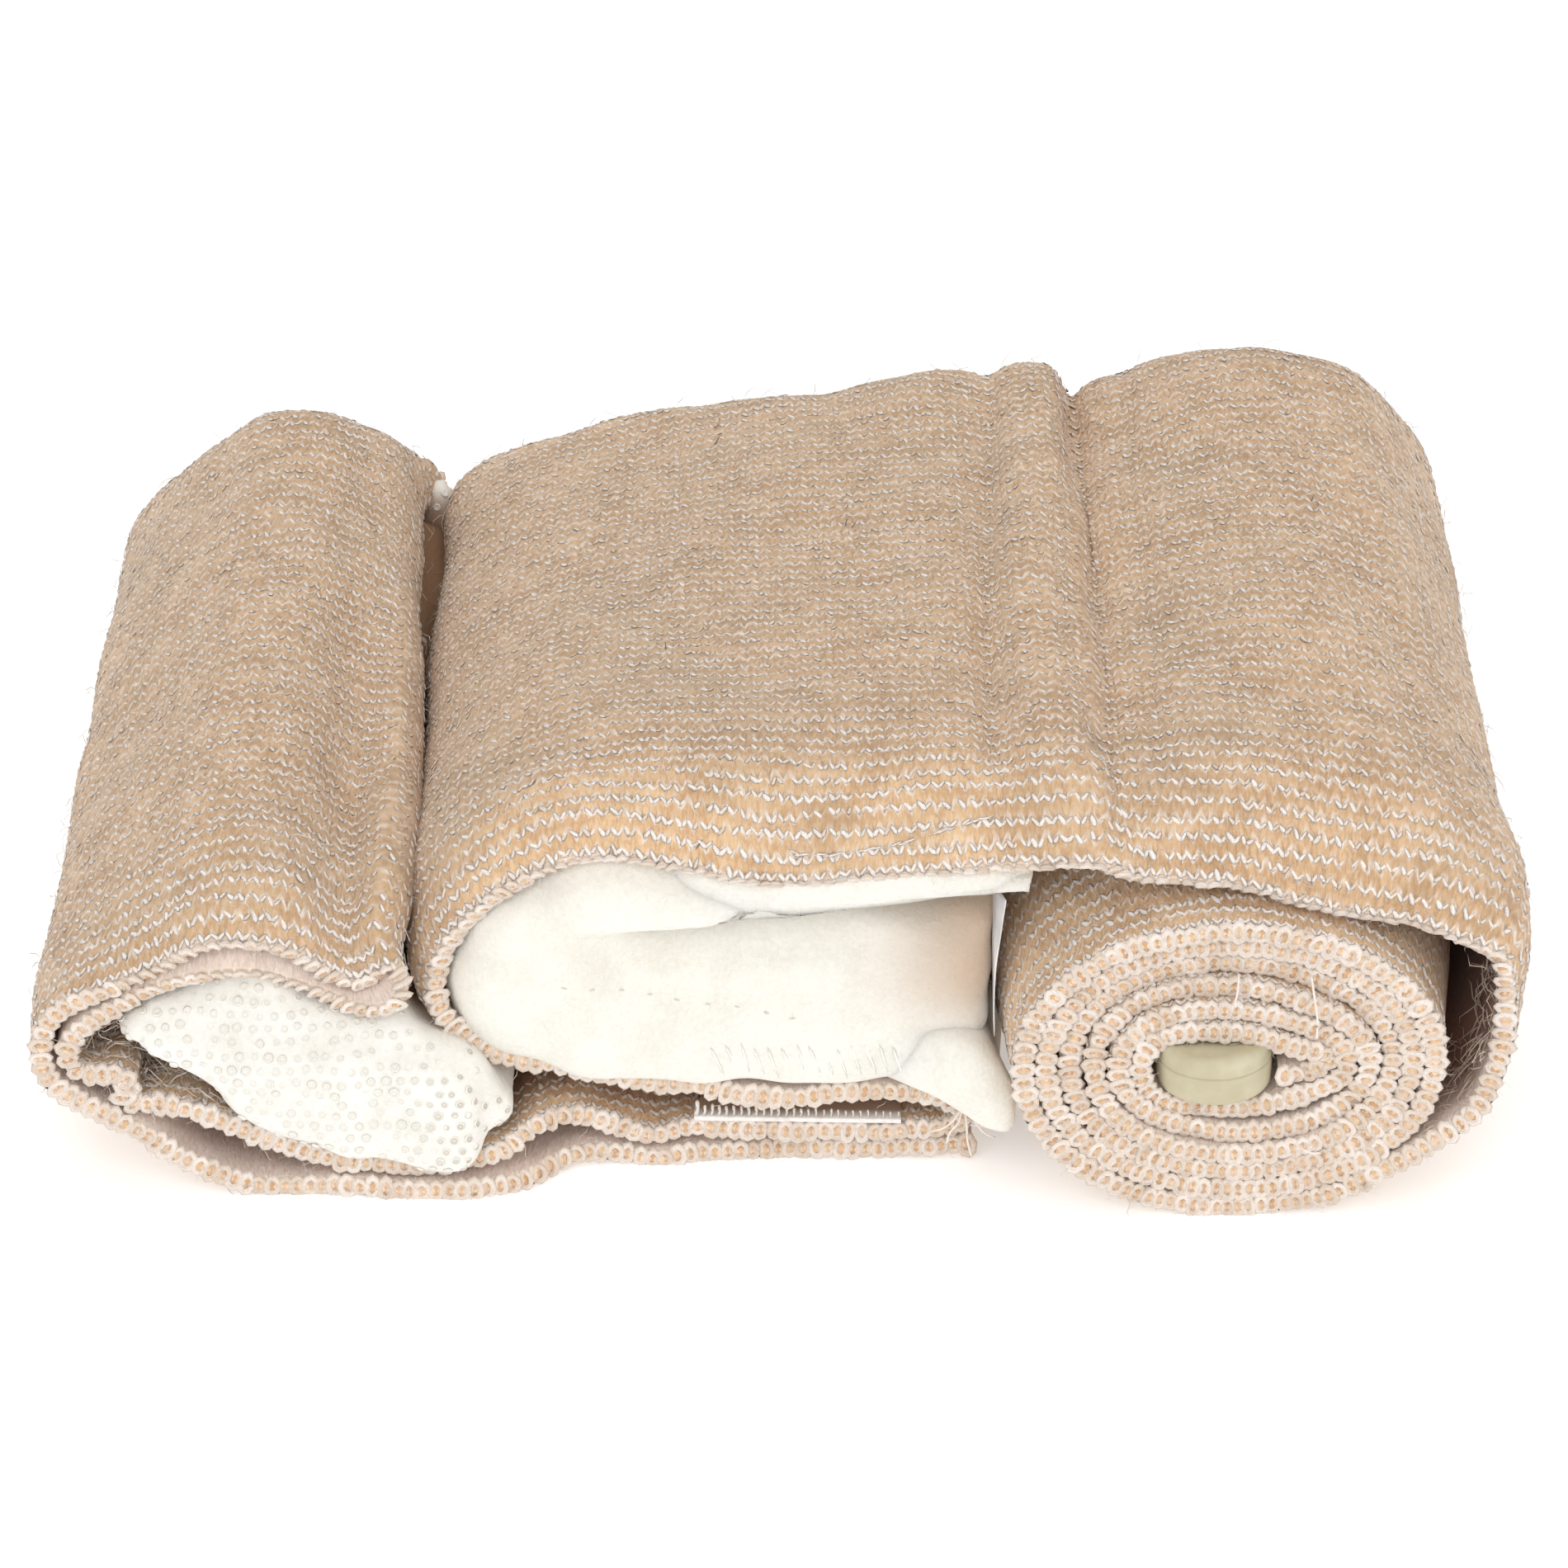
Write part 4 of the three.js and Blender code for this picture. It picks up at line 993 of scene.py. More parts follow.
def set_on_points(name, shape, finish, places, directions, facings, sizes, tints, jitter, seed,
                  slot="elastic_knit"):
    """A finished piece of one shape repeated. Places and sizes are in mm, and tints run from 0 to 1. The
    longer a facing is, the more the yarn takes its light from the way the cloth faces. jitter says how
    uneven the sizes and the turns are."""
    mesh = bpy.data.meshes.new(name)
    mesh.from_pydata((np.asarray(places) * MM).tolist(), [], [])
    count = len(places)
    for label, rows in (("along", directions), ("facing", facings), ("size", np.asarray(sizes) * MM)):
        values = np.broadcast_to(rows, (count, 3)).astype(np.float32)
        mesh.attributes.new(label, "FLOAT_VECTOR", "POINT").data.foreach_set("vector", values.ravel())
    store(mesh, "tint", np.broadcast_to(tints, (count,)))
    obj = in_scene(name, mesh)
    modifier = obj.modifiers.new("pieces", "NODES")
    modifier.node_group = on_points
    given = {"Shape": shape, "Finish": finish, "Size jitter": jitter[0], "Turn jitter": jitter[1],
             "Seed": seed}
    for socket in on_points.interface.items_tree:
        if socket.name in given:
            modifier[socket.identifier] = given[socket.name]
    print(name, "is", count, "pieces")
    return add_to_object(apply_modifiers(obj), None)


# %% Small shapes to repeat
FOOT_DEPTH = -0.1  # a flat foot reaches only this share of the radius down


def outward(obj):
    """Merges points that meet and turns the faces to point out."""
    work = bmesh.new()
    work.from_mesh(obj.data)
    bmesh.ops.remove_doubles(work, verts=work.verts, dist=1e-7)
    bmesh.ops.recalc_face_normals(work, faces=work.faces)
    work.to_mesh(obj.data)
    work.free()
    return obj


def small_shape(name, points, faces):
    """A closed shape in units of its own size, to be repeated. It is in no collection."""
    shape = outward(make_object(name, np.array(points) / MM, faces))
    bpy.context.scene.collection.objects.unlink(shape)
    return shape


def tube_shape(name, path, radii, sides, flat_foot=False):
    """A closed tube through points, to be repeated."""
    path, radii = np.asarray(path, float), np.asarray(radii, float)
    ahead = unit(np.gradient(path, axis=0))
    across = unit(np.cross(ahead, (0, 0, 1)) + np.array([0, 1e-6, 0]))
    above = np.cross(across, ahead)
    points = []
    for k in range(len(path)):
        for a in np.arange(sides) * 2 * math.pi / sides + math.pi / 2:
            height = max(math.sin(a), FOOT_DEPTH) if flat_foot else math.sin(a)
            points.append(path[k] + radii[k] * (across[k] * math.cos(a) + above[k] * height))
    return small_shape(name, points, tube_faces(len(path), sides))


# %% Places on the cloth
cloth_frames = frames_of(middle)


def on_cloth(u, v, side, lift=0.0):
    """Places and directions on a face of the cloth, -1 for the outer one, from distances along and across."""
    u, v = np.asarray(u, float), np.asarray(v, float)
    i = np.interp(u, along, np.arange(len(along)))
    j = np.interp(v, ACROSS, np.arange(len(ACROSS)))
    i0 = np.minimum(i.astype(int), len(along) - 2)
    j0 = np.minimum(j.astype(int), len(ACROSS) - 2)
    fi, fj = (i - i0)[:, None], (j - j0)[:, None]

    def between(field):
        near = field[i0, j0] * (1 - fi) + field[i0 + 1, j0] * fi
        far = field[i0, j0 + 1] * (1 - fi) + field[i0 + 1, j0 + 1] * fi
        return near * (1 - fj) + far * fj

    tangent, across, normal = (unit(between(field)) for field in cloth_frames)
    lift = np.broadcast_to(lift, (len(i),))[:, None]
    return between(middle) + side * normal * (EDGE + lift), tangent, across, side * normal


def length_at(x, z):
    """Distance along the strip to the row whose middle line passes nearest to a place on the front."""
    return along[row_near(x, z)]


roll_ends = along[np.nonzero(along_rows[:, 7] > 0.5)[0][-1]]
print("the roll takes", round(roll_ends), "mm of the strip")

# %% [markdown]
# ## Brown depths of the open folds
#
# Deep in a fold the light has met tan cloth many times, so the cloth there looks a rich brown. The attribute
# `shade` says how much, for each face of the strip. It is nothing at the selvedges and grows inwards.

# %% Shade in the open folds
GAPS = [  # where a fold starts and ends on the strip, its face, and its shade
    (0.0, 14.0, 1, 0.6),
    (length_at(58.0, 6.5), length_at(63.7, 24.1), 1, 0.95),
    (length_at(-22.0, 11.0), length_at(-32.0, 3.2), -1, 0.75),
    (length_at(-41.5, 4.1), length_at(-58.0, 19.8), -1, 0.6),
    (length_at(-41.5, 4.1), length_at(-61.8, 12.9), 1, 0.35),
    (length_at(-60.2, 8.1), length_at(-23.0, 0.9), 1, 0.42),
    (length_at(-41.0, 20.5), length_at(-35.0, 23.9), 1, 0.3),
]
SHADE_STARTS, SHADE_FULL = 1.0, 9.0  # depths behind a selvedge
FADE_OUT, FADE_IN = 2, 4  # how far the shade's end reaches past a fold's end, and into the fold


def shade_gaps(obj):
    """Keeps the shade of every point of the strip, and gives the deepest."""
    faces, edges = np.ones(len(ACROSS)), np.zeros(EDGE_STEPS)
    side = np.concatenate([-faces, edges, faces, edges])
    depth = np.concatenate([ACROSS, edges, ACROSS[::-1], edges])
    depth = smoothstep(np.minimum(depth, STRIP_WIDTH - depth), SHADE_STARTS, SHADE_FULL)
    shade = np.zeros((len(along), len(side)))
    for first, last, face, amount in GAPS:
        begun = smoothstep(along, first - FADE_OUT, first + FADE_IN)
        ended = smoothstep(along, last - FADE_IN, last + FADE_OUT)
        here = begun * (1 - ended)
        shade = np.maximum(shade, amount * here[:, None] * depth * (side == face))
    store(obj.data, "shade", shade)
    return shade.max()


print("the deepest shade is", shade_gaps(wrap))

# %% [markdown]
# ## White yarn on the outer face
#
# The zigzag rows are made: each stitch is two short strokes of white yarn that meet in a point, and one
# stroke is a little longer and brighter than the other. They sit on the shader's softer rows and catch the
# light. Where the face lies hidden in a fold, only the rows near the selvedges are made.

# %% The white yarn
YARN_SHADE = (0.70, 0.54, 0.40)
YARN_LIGHT = (0.99, 0.91, 0.845)
OWN_LIGHT = 0.45  # how much of its shading a strand takes from its own round form and not from the cloth


def yarn_material():
    """White yarn with fine streaks. It keeps some of the shading of the cloth that it lies on."""
    material, tree, shader = new_material("white_yarn")
    streaks = fibres(tree, object_place(tree), 5200.0, 1.0, 900.0)[0]
    uneven = calc(tree, "SUBTRACT", streaks, 0.5)
    tone = weighted(tree, (stored(tree, "tint"), 0.9), (uneven, 0.8), clamp=True)
    round_form = add_node(tree, "ShaderNodeNewGeometry").outputs["Normal"]
    own = vector_calc(tree, "SCALE", {0: round_form, "Scale": OWN_LIGHT})
    both = vector_calc(tree, "ADD", {0: own, 1: stored(tree, "facing", "Vector")})
    soft = vector_calc(tree, "NORMALIZE", {0: both})
    fill(tree, shader, {
        "Base Color": mix_colour(tree, tone, YARN_SHADE, YARN_LIGHT),
        "Roughness": 0.9, "Specular IOR Level": 0.15, "Sheen Weight": 0.2,
        "Normal": bump(tree, streaks, 0.6, 0.3, Normal=soft),
    })
    return material


white_yarn = yarn_material()
SPINDLE = tube_shape("yarn_stroke", [(-0.5, 0, 0), (-0.24, 0, 0), (0.2, 0.05, 0), (0.5, 0, 0)],
                     [0, 0.5, 0.42, 0], 3, flat_foot=True)
print("a stroke has", len(SPINDLE.data.polygons), "faces")

# %% Where the strokes lie
ROW_START = ROW_OFFSET * ROW
SHOWN = [
    (length_at(28.0, 28.6), length_at(26.0, 3.4)),
    (roll_ends, length_at(-28.0, 15.0)),
    (length_at(-33.9, 20.6), length_at(-50.4, 1.7)),
]
HIDDEN_DEPTH = {"roll": 5.0, "front": 8.0, "back": 6.0}
print("the outer face shows on", round(sum(last - first for first, last in SHOWN)), "mm of the strip")


def stitch_grid():
    """Distances along and across for every stitch's point, where it shows."""
    rows = np.arange(int((STRIP_WIDTH - 1) / ROW))
    stitches = np.arange(1, int(STRIP_LENGTH / STITCH))
    grids = np.meshgrid(stitches * STITCH, ROW_START + rows * ROW, indexing="ij")
    u, v = (grid.ravel() for grid in grids)
    shown = np.zeros(len(u), bool)
    for first, last in SHOWN:
        shown |= (u >= first) & (u <= last)
    shown |= np.minimum(v, STRIP_WIDTH - v) < HIDDEN_DEPTH["roll"]
    shown |= (u > roll_ends) & ((v < HIDDEN_DEPTH["front"]) | (v > STRIP_WIDTH - HIDDEN_DEPTH["back"]))
    return u[shown], v[shown]


# %% Strokes of white yarn
# Each of a stitch's two strokes: shift and direction along and across, length, width and height, and tint
STROKE_LONG = {"shift": (0.28, 0.42), "way": (0.56, 0.83), "size": (1.25, 0.62, 0.27), "tint": 0.9}
STROKE_SHORT = {"shift": (-0.28, 0.38), "way": (-0.6, 0.74), "size": (1.05, 0.52, 0.21), "tint": 0.55}
ROW_WAVES = [(0.2, 9.0, 0.8), (0.12, 2.9, 1.7)]  # height, length, and turn of phase for each mm across
SCATTER = 0.07
MISSING = 0.06  # share of the strokes that don't come through


def yarn_strokes():
    """Places, directions, facings, sizes and tints of the strokes, and their distances along the strip."""
    u, v = stitch_grid()
    wander = v
    for high, long, phase in ROW_WAVES:
        wander = wander + high * np.sin(u / long + v * phase)
    v = wander + rng.normal(0, SCATTER, len(v))
    u = u + rng.normal(0, SCATTER, len(u))
    near_edge = np.clip(1.4 - np.minimum(v, STRIP_WIDTH - v) / 12, 0, 1)
    out = []
    for stroke in (STROKE_LONG, STROKE_SHORT):
        kept = rng.random(len(u)) > MISSING
        at = np.clip(v + stroke["shift"][1], EDGE, STRIP_WIDTH - EDGE)
        lift = rng.normal(0.0, 0.035, len(u))
        places, tangent, across, facing = on_cloth(u + stroke["shift"][0], at, -1, lift)
        leaning = rng.normal(0, 0.16, len(u))[:, None]
        way = unit(tangent * (stroke["way"][0] + leaning) + across * stroke["way"][1])
        sizes = np.array(stroke["size"]) * rng.uniform(0.78, 1.15, (len(u), 3))
        sizes = sizes * (0.9 + 0.15 * near_edge[:, None])
        tint = np.clip(stroke["tint"] + 0.3 * near_edge - 0.12 + rng.normal(0, 0.2, len(u)), 0, 1)
        out.append([part[kept] for part in (places, way, facing, sizes, tint, u)])
    return [np.concatenate(parts) for parts in zip(*out)]


*stroke_parts, stroke_along = yarn_strokes()
YARN_PIECES = {
    "yarn_of_roll": (0.0, roll_ends + 10),
    "yarn_of_cover": (roll_ends + 10, length_at(-30.0, 23.8)),
    "yarn_of_folds": (length_at(-30.0, 23.8), STRIP_LENGTH),
}
for name, (first, last) in YARN_PIECES.items():
    inside = (stroke_along >= first) & (stroke_along < last)
    strokes = [part[inside] for part in stroke_parts]
    set_on_points(name, SPINDLE, white_yarn, *strokes, jitter=(0.1, 0.12), seed=3)

# %% [markdown]
# ## Selvedge loops
#
# Seen end on, a selvedge is a ladder of white loops with a tan stitch showing in each. A loop is an oval ring
# whose two ends lean back over the cloth's edge, and the stitch in it is a small rounded blob.

# %% The shapes along the selvedges
LOOP_SIZE = (1.15, 1.68, 0.95)
BLOB_SIZE = (0.68, 1.1, 0.74)
LOOP_TUBE = 0.24
LOOP_SEGMENTS, LOOP_SIDES = 8, 4


def loop_shape():
    """An oval ring whose two ends lean back."""
    points = []
    for a in np.arange(LOOP_SEGMENTS) * 2 * math.pi / LOOP_SEGMENTS:
        centre = np.array([0.5 * math.cos(a), 0.5 * math.sin(a), 0.1 - 0.2 * math.sin(a) ** 2])
        out = np.array([math.cos(a), math.sin(a), 0.0])
        for b in np.arange(LOOP_SIDES) * 2 * math.pi / LOOP_SIDES:
            points.append(centre + LOOP_TUBE * (out * math.cos(b) + np.array([0, 0, 1.25 * math.sin(b)])))
    faces = []
    for i in range(LOOP_SEGMENTS):
        n = (i + 1) % LOOP_SEGMENTS
        for k in range(LOOP_SIDES):
            m = (k + 1) % LOOP_SIDES
            faces.append((i * LOOP_SIDES + k, n * LOOP_SIDES + k, n * LOOP_SIDES + m, i * LOOP_SIDES + m))
    return small_shape("selvedge_loop", points, faces)


def tan_material():
    """Tan yarn, from deep to light by its tint."""
    material, tree, shader = new_material("tan_yarn")
    streaks = fibres(tree, object_place(tree), 5200.0, 1.0, 900.0)[0]
    tone = weighted(tree, (stored(tree, "tint"), 0.6), (streaks, 0.5), clamp=True)
    fill(tree, shader, {
        "Base Color": mix_colour(tree, tone, (0.52, 0.30, 0.15), (0.83, 0.58, 0.36)),
        "Roughness": 0.95, "Specular IOR Level": 0.1, "Sheen Weight": 0.2,
    })
    return material


tan_yarn = tan_material()
LOOP = loop_shape()
BLOB = tube_shape("selvedge_stitch", [(0, y, 0) for y in (-0.5, -0.28, 0.28, 0.5)], [0, 0.42, 0.42, 0], 5)
print("a loop has", len(LOOP.data.polygons), "faces and a stitch", len(BLOB.data.polygons))

# %% Loops and stitches along both selvedges
def selvedge_places(v, lift):
    """A place between each two stitches on the selvedge at v, with the directions there."""
    u = np.arange(0.5, STRIP_LENGTH / STITCH) * STITCH
    centre, tangent, across, _ = on_cloth(u, np.full(len(u), v), -1, -EDGE)
    out = across if v > STRIP_WIDTH / 2 else -across
    return centre + out * lift, tangent, out, len(u)


for label, v in (("front", ACROSS[0]), ("back", ACROSS[-1])):
    places, tangent, out, count = selvedge_places(v, EDGE * 0.8)
    shift = rng.normal(0, 0.06, (count, 1))
    sizes = np.array(LOOP_SIZE) * rng.uniform(0.85, 1.15, (count, 3))
    set_on_points("selvedge_loops_" + label, LOOP, white_yarn, places + tangent * shift, tangent, out * 0.12,
                  sizes, rng.uniform(0.35, 0.9, count), jitter=(0.05, 0.16), seed=5)
    sizes = np.array(BLOB_SIZE) * rng.uniform(0.85, 1.15, (count, 3))
    set_on_points("selvedge_stitches_" + label, BLOB, tan_yarn, places - out * 0.1, tangent, out,
                  sizes, rng.uniform(0, 1, count), jitter=(0.1, 0.15), seed=6)

# %% [markdown]
# ## Soft pads
#
# A pad is layers of fleece, so it has thickness, round edges and a front face that swells a little between
# them. Each layer is lofted through an outline with the same columns as the strip's rows. A voxel remesh
# turns the lofts into one skin, the front faces are pushed out by their distance from the outline, and a
# smoothing pass rounds what is left. That gives the swell that a cloth simulation would give, in less time.

# %% A layer through an outline
def outline_points(rows, share, width):
    """An outline's points at one share of the width."""
    return np.array([cloth_points((*row, 0.0), np.array([share]), width)[0] for row in rows])


def turning(ring):
    """1 for an outline that runs clockwise in x and z, and -1 for the other way."""
    area = np.sum(ring[:, 0] * np.roll(ring[:, 2], -1) - np.roll(ring[:, 0], -1) * ring[:, 2])
    return 1.0 if area < 0 else -1.0


def loft(name, rows, width, step=0.8, depth_steps=26, rounding=0.6):
    """A closed solid through one outline, with rounded edges at its front and back."""
    fine = catmull_rom(np.array(rows, float), step, closed=True)
    bend = np.linspace(0, math.pi / 2, 5)
    ends = rounding * (1 - np.sin(bend[::-1])) / width
    between = np.linspace(ends[-1], 1 - ends[-1], depth_steps)
    shares = np.concatenate([ends[:-1], between, 1 - ends[:-1][::-1]])
    drawn = rounding * (1 - np.cos(bend[::-1]))
    drawn = np.concatenate([drawn[:-1], np.zeros(depth_steps), drawn[:-1][::-1]])
    rings = []
    for share, inset in zip(shares, drawn):
        ring = outline_points(fine, share, width)
        ahead = unit(np.roll(ring, -1, axis=0) - np.roll(ring, 1, axis=0))
        inward = unit(np.column_stack([ahead[:, 2], np.zeros(len(ring)), -ahead[:, 0]]))
        rings.append(ring + inward * inset * turning(ring))
    points = np.concatenate(rings) + FOOTPRINT_SHIFT
    return outward(make_object(name, points, tube_faces(len(rings), len(rings[0]), turned=-1)))


# %% Helpers that read and reshape a mesh
def remeshed(obj, voxel):
    """The object with one even skin."""
    modifier = obj.modifiers.new("skin", "REMESH")
    modifier.mode = "VOXEL"
    modifier.voxel_size = voxel * MM
    return apply_modifiers(obj)


def read_points(obj):
    """All points, in mm."""
    flat = np.empty(len(obj.data.vertices) * 3)
    obj.data.vertices.foreach_get("co", flat)
    return flat.reshape(-1, 3) / MM


def write_points(obj, points):
    """Puts points in mm back."""
    obj.data.vertices.foreach_set("co", (points * MM).ravel())
    obj.data.update()


def read_normals(obj):
    """The direction that the surface faces at each point."""
    flat = np.empty(len(obj.data.vertices) * 3)
    obj.data.vertex_normals.foreach_get("vector", flat)
    return flat.reshape(-1, 3)


def distance_inside(places, polygon):
    """How far points lie inside a closed outline in x and z, and 0 for points outside."""
    best = np.full(len(places), np.inf)
    inside = np.zeros(len(places), bool)
    for a, b in zip(polygon, np.roll(polygon, -1, axis=0)):
        edge = b - a
        t = np.clip(((places - a) @ edge) / max(edge @ edge, 1e-9), 0, 1)
        best = np.minimum(best, np.linalg.norm(places - (a + t[:, None] * edge), axis=1))
        crosses = (a[1] > places[:, 1]) != (b[1] > places[:, 1])
        at = a[0] + (places[:, 1] - a[1]) / (edge[1] if abs(edge[1]) > 1e-9 else 1e-9) * edge[0]
        inside ^= crosses & (places[:, 0] < at)
    return np.where(inside, best, 0.0)


# %% Swelling, smoothing and joining the layers
def swell_ends(obj, rows, width, high, reach):
    """Pushes the front and back faces out, most where they are furthest from the outline."""
    points, normals = read_points(obj), read_normals(obj)
    fine = catmull_rom(np.array(rows, float), 1.0, closed=True)
    for share, sign in ((0.0, -1), (1.0, 1)):
        polygon = outline_points(fine, share, width)[:, [0, 2]]
        deep = distance_inside(points[:, [0, 2]], polygon)
        level = 1 - np.clip(deep / reach, 0, 1)
        dome = high * np.sqrt(np.maximum(0, 1 - level ** 2))
        facing = np.clip(normals[:, 1] * sign * 2 - 0.6, 0, 1)
        points[:, 1] += sign * dome * facing
    write_points(obj, points)
    return obj


def soften(obj, rounds):
    """Smooths the mesh so many times."""
    work = bmesh.new()
    work.from_mesh(obj.data)
    for _ in range(rounds):
        bmesh.ops.smooth_vert(work, verts=work.verts, factor=0.5, use_axis_x=True, use_axis_y=True,
                              use_axis_z=True)
    work.to_mesh(obj.data)
    work.free()
    return obj


LUMP_DEPTHS = (31, -43)  # wavelengths of the lumps across the pad


def lumpy(obj, lumps):
    """Soft lumps from a few waves with fixed random phases. Each is two wavelengths and a height in mm."""
    points, normals = read_points(obj), read_normals(obj)
    high = np.zeros(len(points))
    for long, tall, size in lumps:
        phase = rng.uniform(0, 2 * math.pi, 2)
        first = points[:, 0] / long + points[:, 1] / LUMP_DEPTHS[0]
        second = points[:, 2] / tall + points[:, 1] / LUMP_DEPTHS[1]
        high += size * (np.sin(2 * math.pi * first + phase[0]) + np.sin(2 * math.pi * second + phase[1]))
    write_points(obj, points + normals * high[:, None])
    return obj


# %% Layers joined to a pad
def join_layers(name, layers):
    """Joins layers into the first one's object, which takes the name."""
    for extra in layers[1:]:
        work = bmesh.new()
        work.from_mesh(layers[0].data)
        work.from_mesh(extra.data)
        work.to_mesh(layers[0].data)
        work.free()
        bpy.data.objects.remove(extra)
    layers[0].name = name
    return layers[0]


def pad_from_layers(name, layers, voxel, rounds):
    """A pad of several layers. Each layer is its rows, its width, and its front's swell and reach."""
    parts = []
    for k, (rows, width, high, reach) in enumerate(layers):
        part = remeshed(loft(name + "_layer_" + str(k), rows, width), voxel)
        parts.append(swell_ends(part, rows, width, high, reach))
    return soften(remeshed(join_layers(name, parts), voxel), rounds)


# %% [markdown]
# ## The fleece pad
#
# One thick body, and a shoulder that swells up to the cover above it. The shoulder runs into a thin flap,
# which lies under the cover and ends square at the right. A lower layer runs out in front of the body as a
# soft tongue. Body and shoulder share one skin, and the tongue and the flap have skins of their own.

# %% The fleece pad's layers
FLEECE_WIDTH = 92.0
FLEECE_BODY = filled(12, [
    (19.0, 18.6, -43.4, 0.6, 0.2),
]) + filled(13, [
    (19.2, 22.6, -42.6, 2.0, 1.6),
    (19.1, 26.0, -42.0, 4.0, 3.0),
    (13.6, 27.4, -39.6, 6.0, 3.0),
    (9.0, 27.8, -39.8, 6.6, 3.0),
    (3.0, 27.4, -40.4, 7.2, 3.0),
    (-5.0, 26.8, -40.8, 7.0, 1.0),
    (-12.0, 26.3, -41.8, 5.8, -1.8),
    (-17.0, 26.7, -43.8, 5.2, -2.8),
    (-19.8, 28.7, -44.8, 5.0, -3.2, -0.4),
    (-21.6, 30.2, -45.2, 4.9, -3.0, -0.8),
    (-24.0, 28.6, -45.2, 4.3, -2.6, -1.4),
    (-26.8, 26.0, -45.1, 3.5, -1.8, -2.0),
    (-28.8, 23.3, -45.0, 2.4, -0.8, -2.4),
    (-29.9, 20.4, -45.0, 1.1, 0.1, -2.6),
    (-29.8, 17.6, -45.2, 0, 0, -2.4),
    (-28.2, 14.8, -45.2, 0, 0, -1.6),
]) + filled(12, [
    (-24.6, 12.4, -45.2, 0, 0, -0.6),
    (-18.6, 10.9, -45.2),
    (-9.8, 10.2, -45.2),
    (-2.8, 9.9, -45.2),
    (1.0, 9.6, -45.2),
    (5.2, 10.0, -45.2),
    (9.8, 10.6, -44.9),
    (15.0, 12.0, -44.4),
    (18.4, 15.0, -43.9),
])
FLEECE_SHOULDER = filled(13, [
    (6.0, 28.9, -44.0, 8.0, 3.6),
    (-1.0, 29.2, -45.2, 8.2, 3.2),
    (-8.5, 30.2, -45.0, 7.4, 0.8),
    (-14.4, 31.2, -45.4, 5.7, -2.6),
    (-19.0, 30.9, -45.3, 5.1, -3.2, -0.3),
    (-22.8, 28.8, -45.2, 4.6, -3.0, -0.8),
    (-22.4, 26.0, -45.2, 4.8, -3.0, -0.8),
    (-17.6, 24.8, -45.6, 5.0, -2.8),
    (-12.5, 25.1, -45.3, 5.4, -2.0),
    (-7.0, 25.7, -45.2, 6.4, 0.2),
    (-1.0, 26.0, -45.2, 6.8, 2.0),
    (6.0, 27.3, -44.0, 7.0, 3.0),
])
FLEECE_FLAP = filled(13, [
    (22.4, 31.4, -46.8, 5.8, 3.8),
    (14.8, 30.9, -46.7, 6.6, 3.6),
    (7.5, 30.1, -46.8, 7.9, 3.8),
    (0.0, 29.5, -46.8, 8.6, 3.8),
    (-6.5, 29.8, -46.2, 7.8, 2.2),
    (-12.0, 30.2, -44.2, 6.6, -0.4),
    (-12.0, 26.2, -44.2, 5.8, -1.0),
    (-6.5, 26.3, -46.0, 6.4, 0.6),
    (0.0, 27.1, -46.9, 6.8, 2.2),
    (4.6, 27.8, -46.9, 7.0, 2.9),
    (10.0, 28.5, -46.8, 6.6, 3.0),
    (16.0, 29.3, -46.7, 6.0, 3.0),
    (22.4, 29.9, -46.8, 5.6, 3.6),
])
FLEECE_TONGUE = filled(12, [
    (4.4, 11.4, -42.6),
    (9.8, 10.2, -45.2),
    (13.4, 9.2, -46.8),
    (16.2, 7.6, -47.8),
    (18.4, 6.3, -48.0),
    (20.6, 5.6, -48.2, 0, 0, -1.0),
    (22.0, 6.8, -48.2, 0, 0, -1.8),
    (22.0, 9.4, -48.2, 0, 0, -2.4),
    (20.6, 12.6, -48.2, 0, 0, -2.0),
    (17.4, 15.4, -47.4, 0, 0, -0.8),
    (13.0, 16.3, -46.0),
    (8.4, 15.3, -44.0),
    (5.0, 13.6, -42.6),
])
print("outlines of", len(FLEECE_BODY + FLEECE_SHOULDER + FLEECE_FLAP + FLEECE_TONGUE), "points in all")

# %% The fleece pad
FLEECE_VOXEL = 0.68
FLEECE_LUMPS = [(23, 17, 0.22), (-11, 19, 0.16), (9, 7.5, 0.12), (6.1, -5.3, 0.07)]
fleece = pad_from_layers("fleece_pad_soft", [
    (FLEECE_BODY, FLEECE_WIDTH, 3.2, 7.0),
    (FLEECE_SHOULDER, FLEECE_WIDTH, 2.2, 3.2),
], FLEECE_VOXEL, 3)
tongue = pad_from_layers("fleece_tongue", [(FLEECE_TONGUE, FLEECE_WIDTH, 1.4, 3.4)], FLEECE_VOXEL, 2)
flap = loft("fleece_flap", FLEECE_FLAP, FLEECE_WIDTH, rounding=0.7)
fleece = lumpy(join_layers("fleece_pad_soft", [fleece, tongue, flap]), FLEECE_LUMPS)
print("fleece pad has", len(fleece.data.polygons), "faces")

# %% [markdown]
# ## The film-faced pad
#
# Two thick layers with soft edges, joined at the thin left tip and splayed at the right.

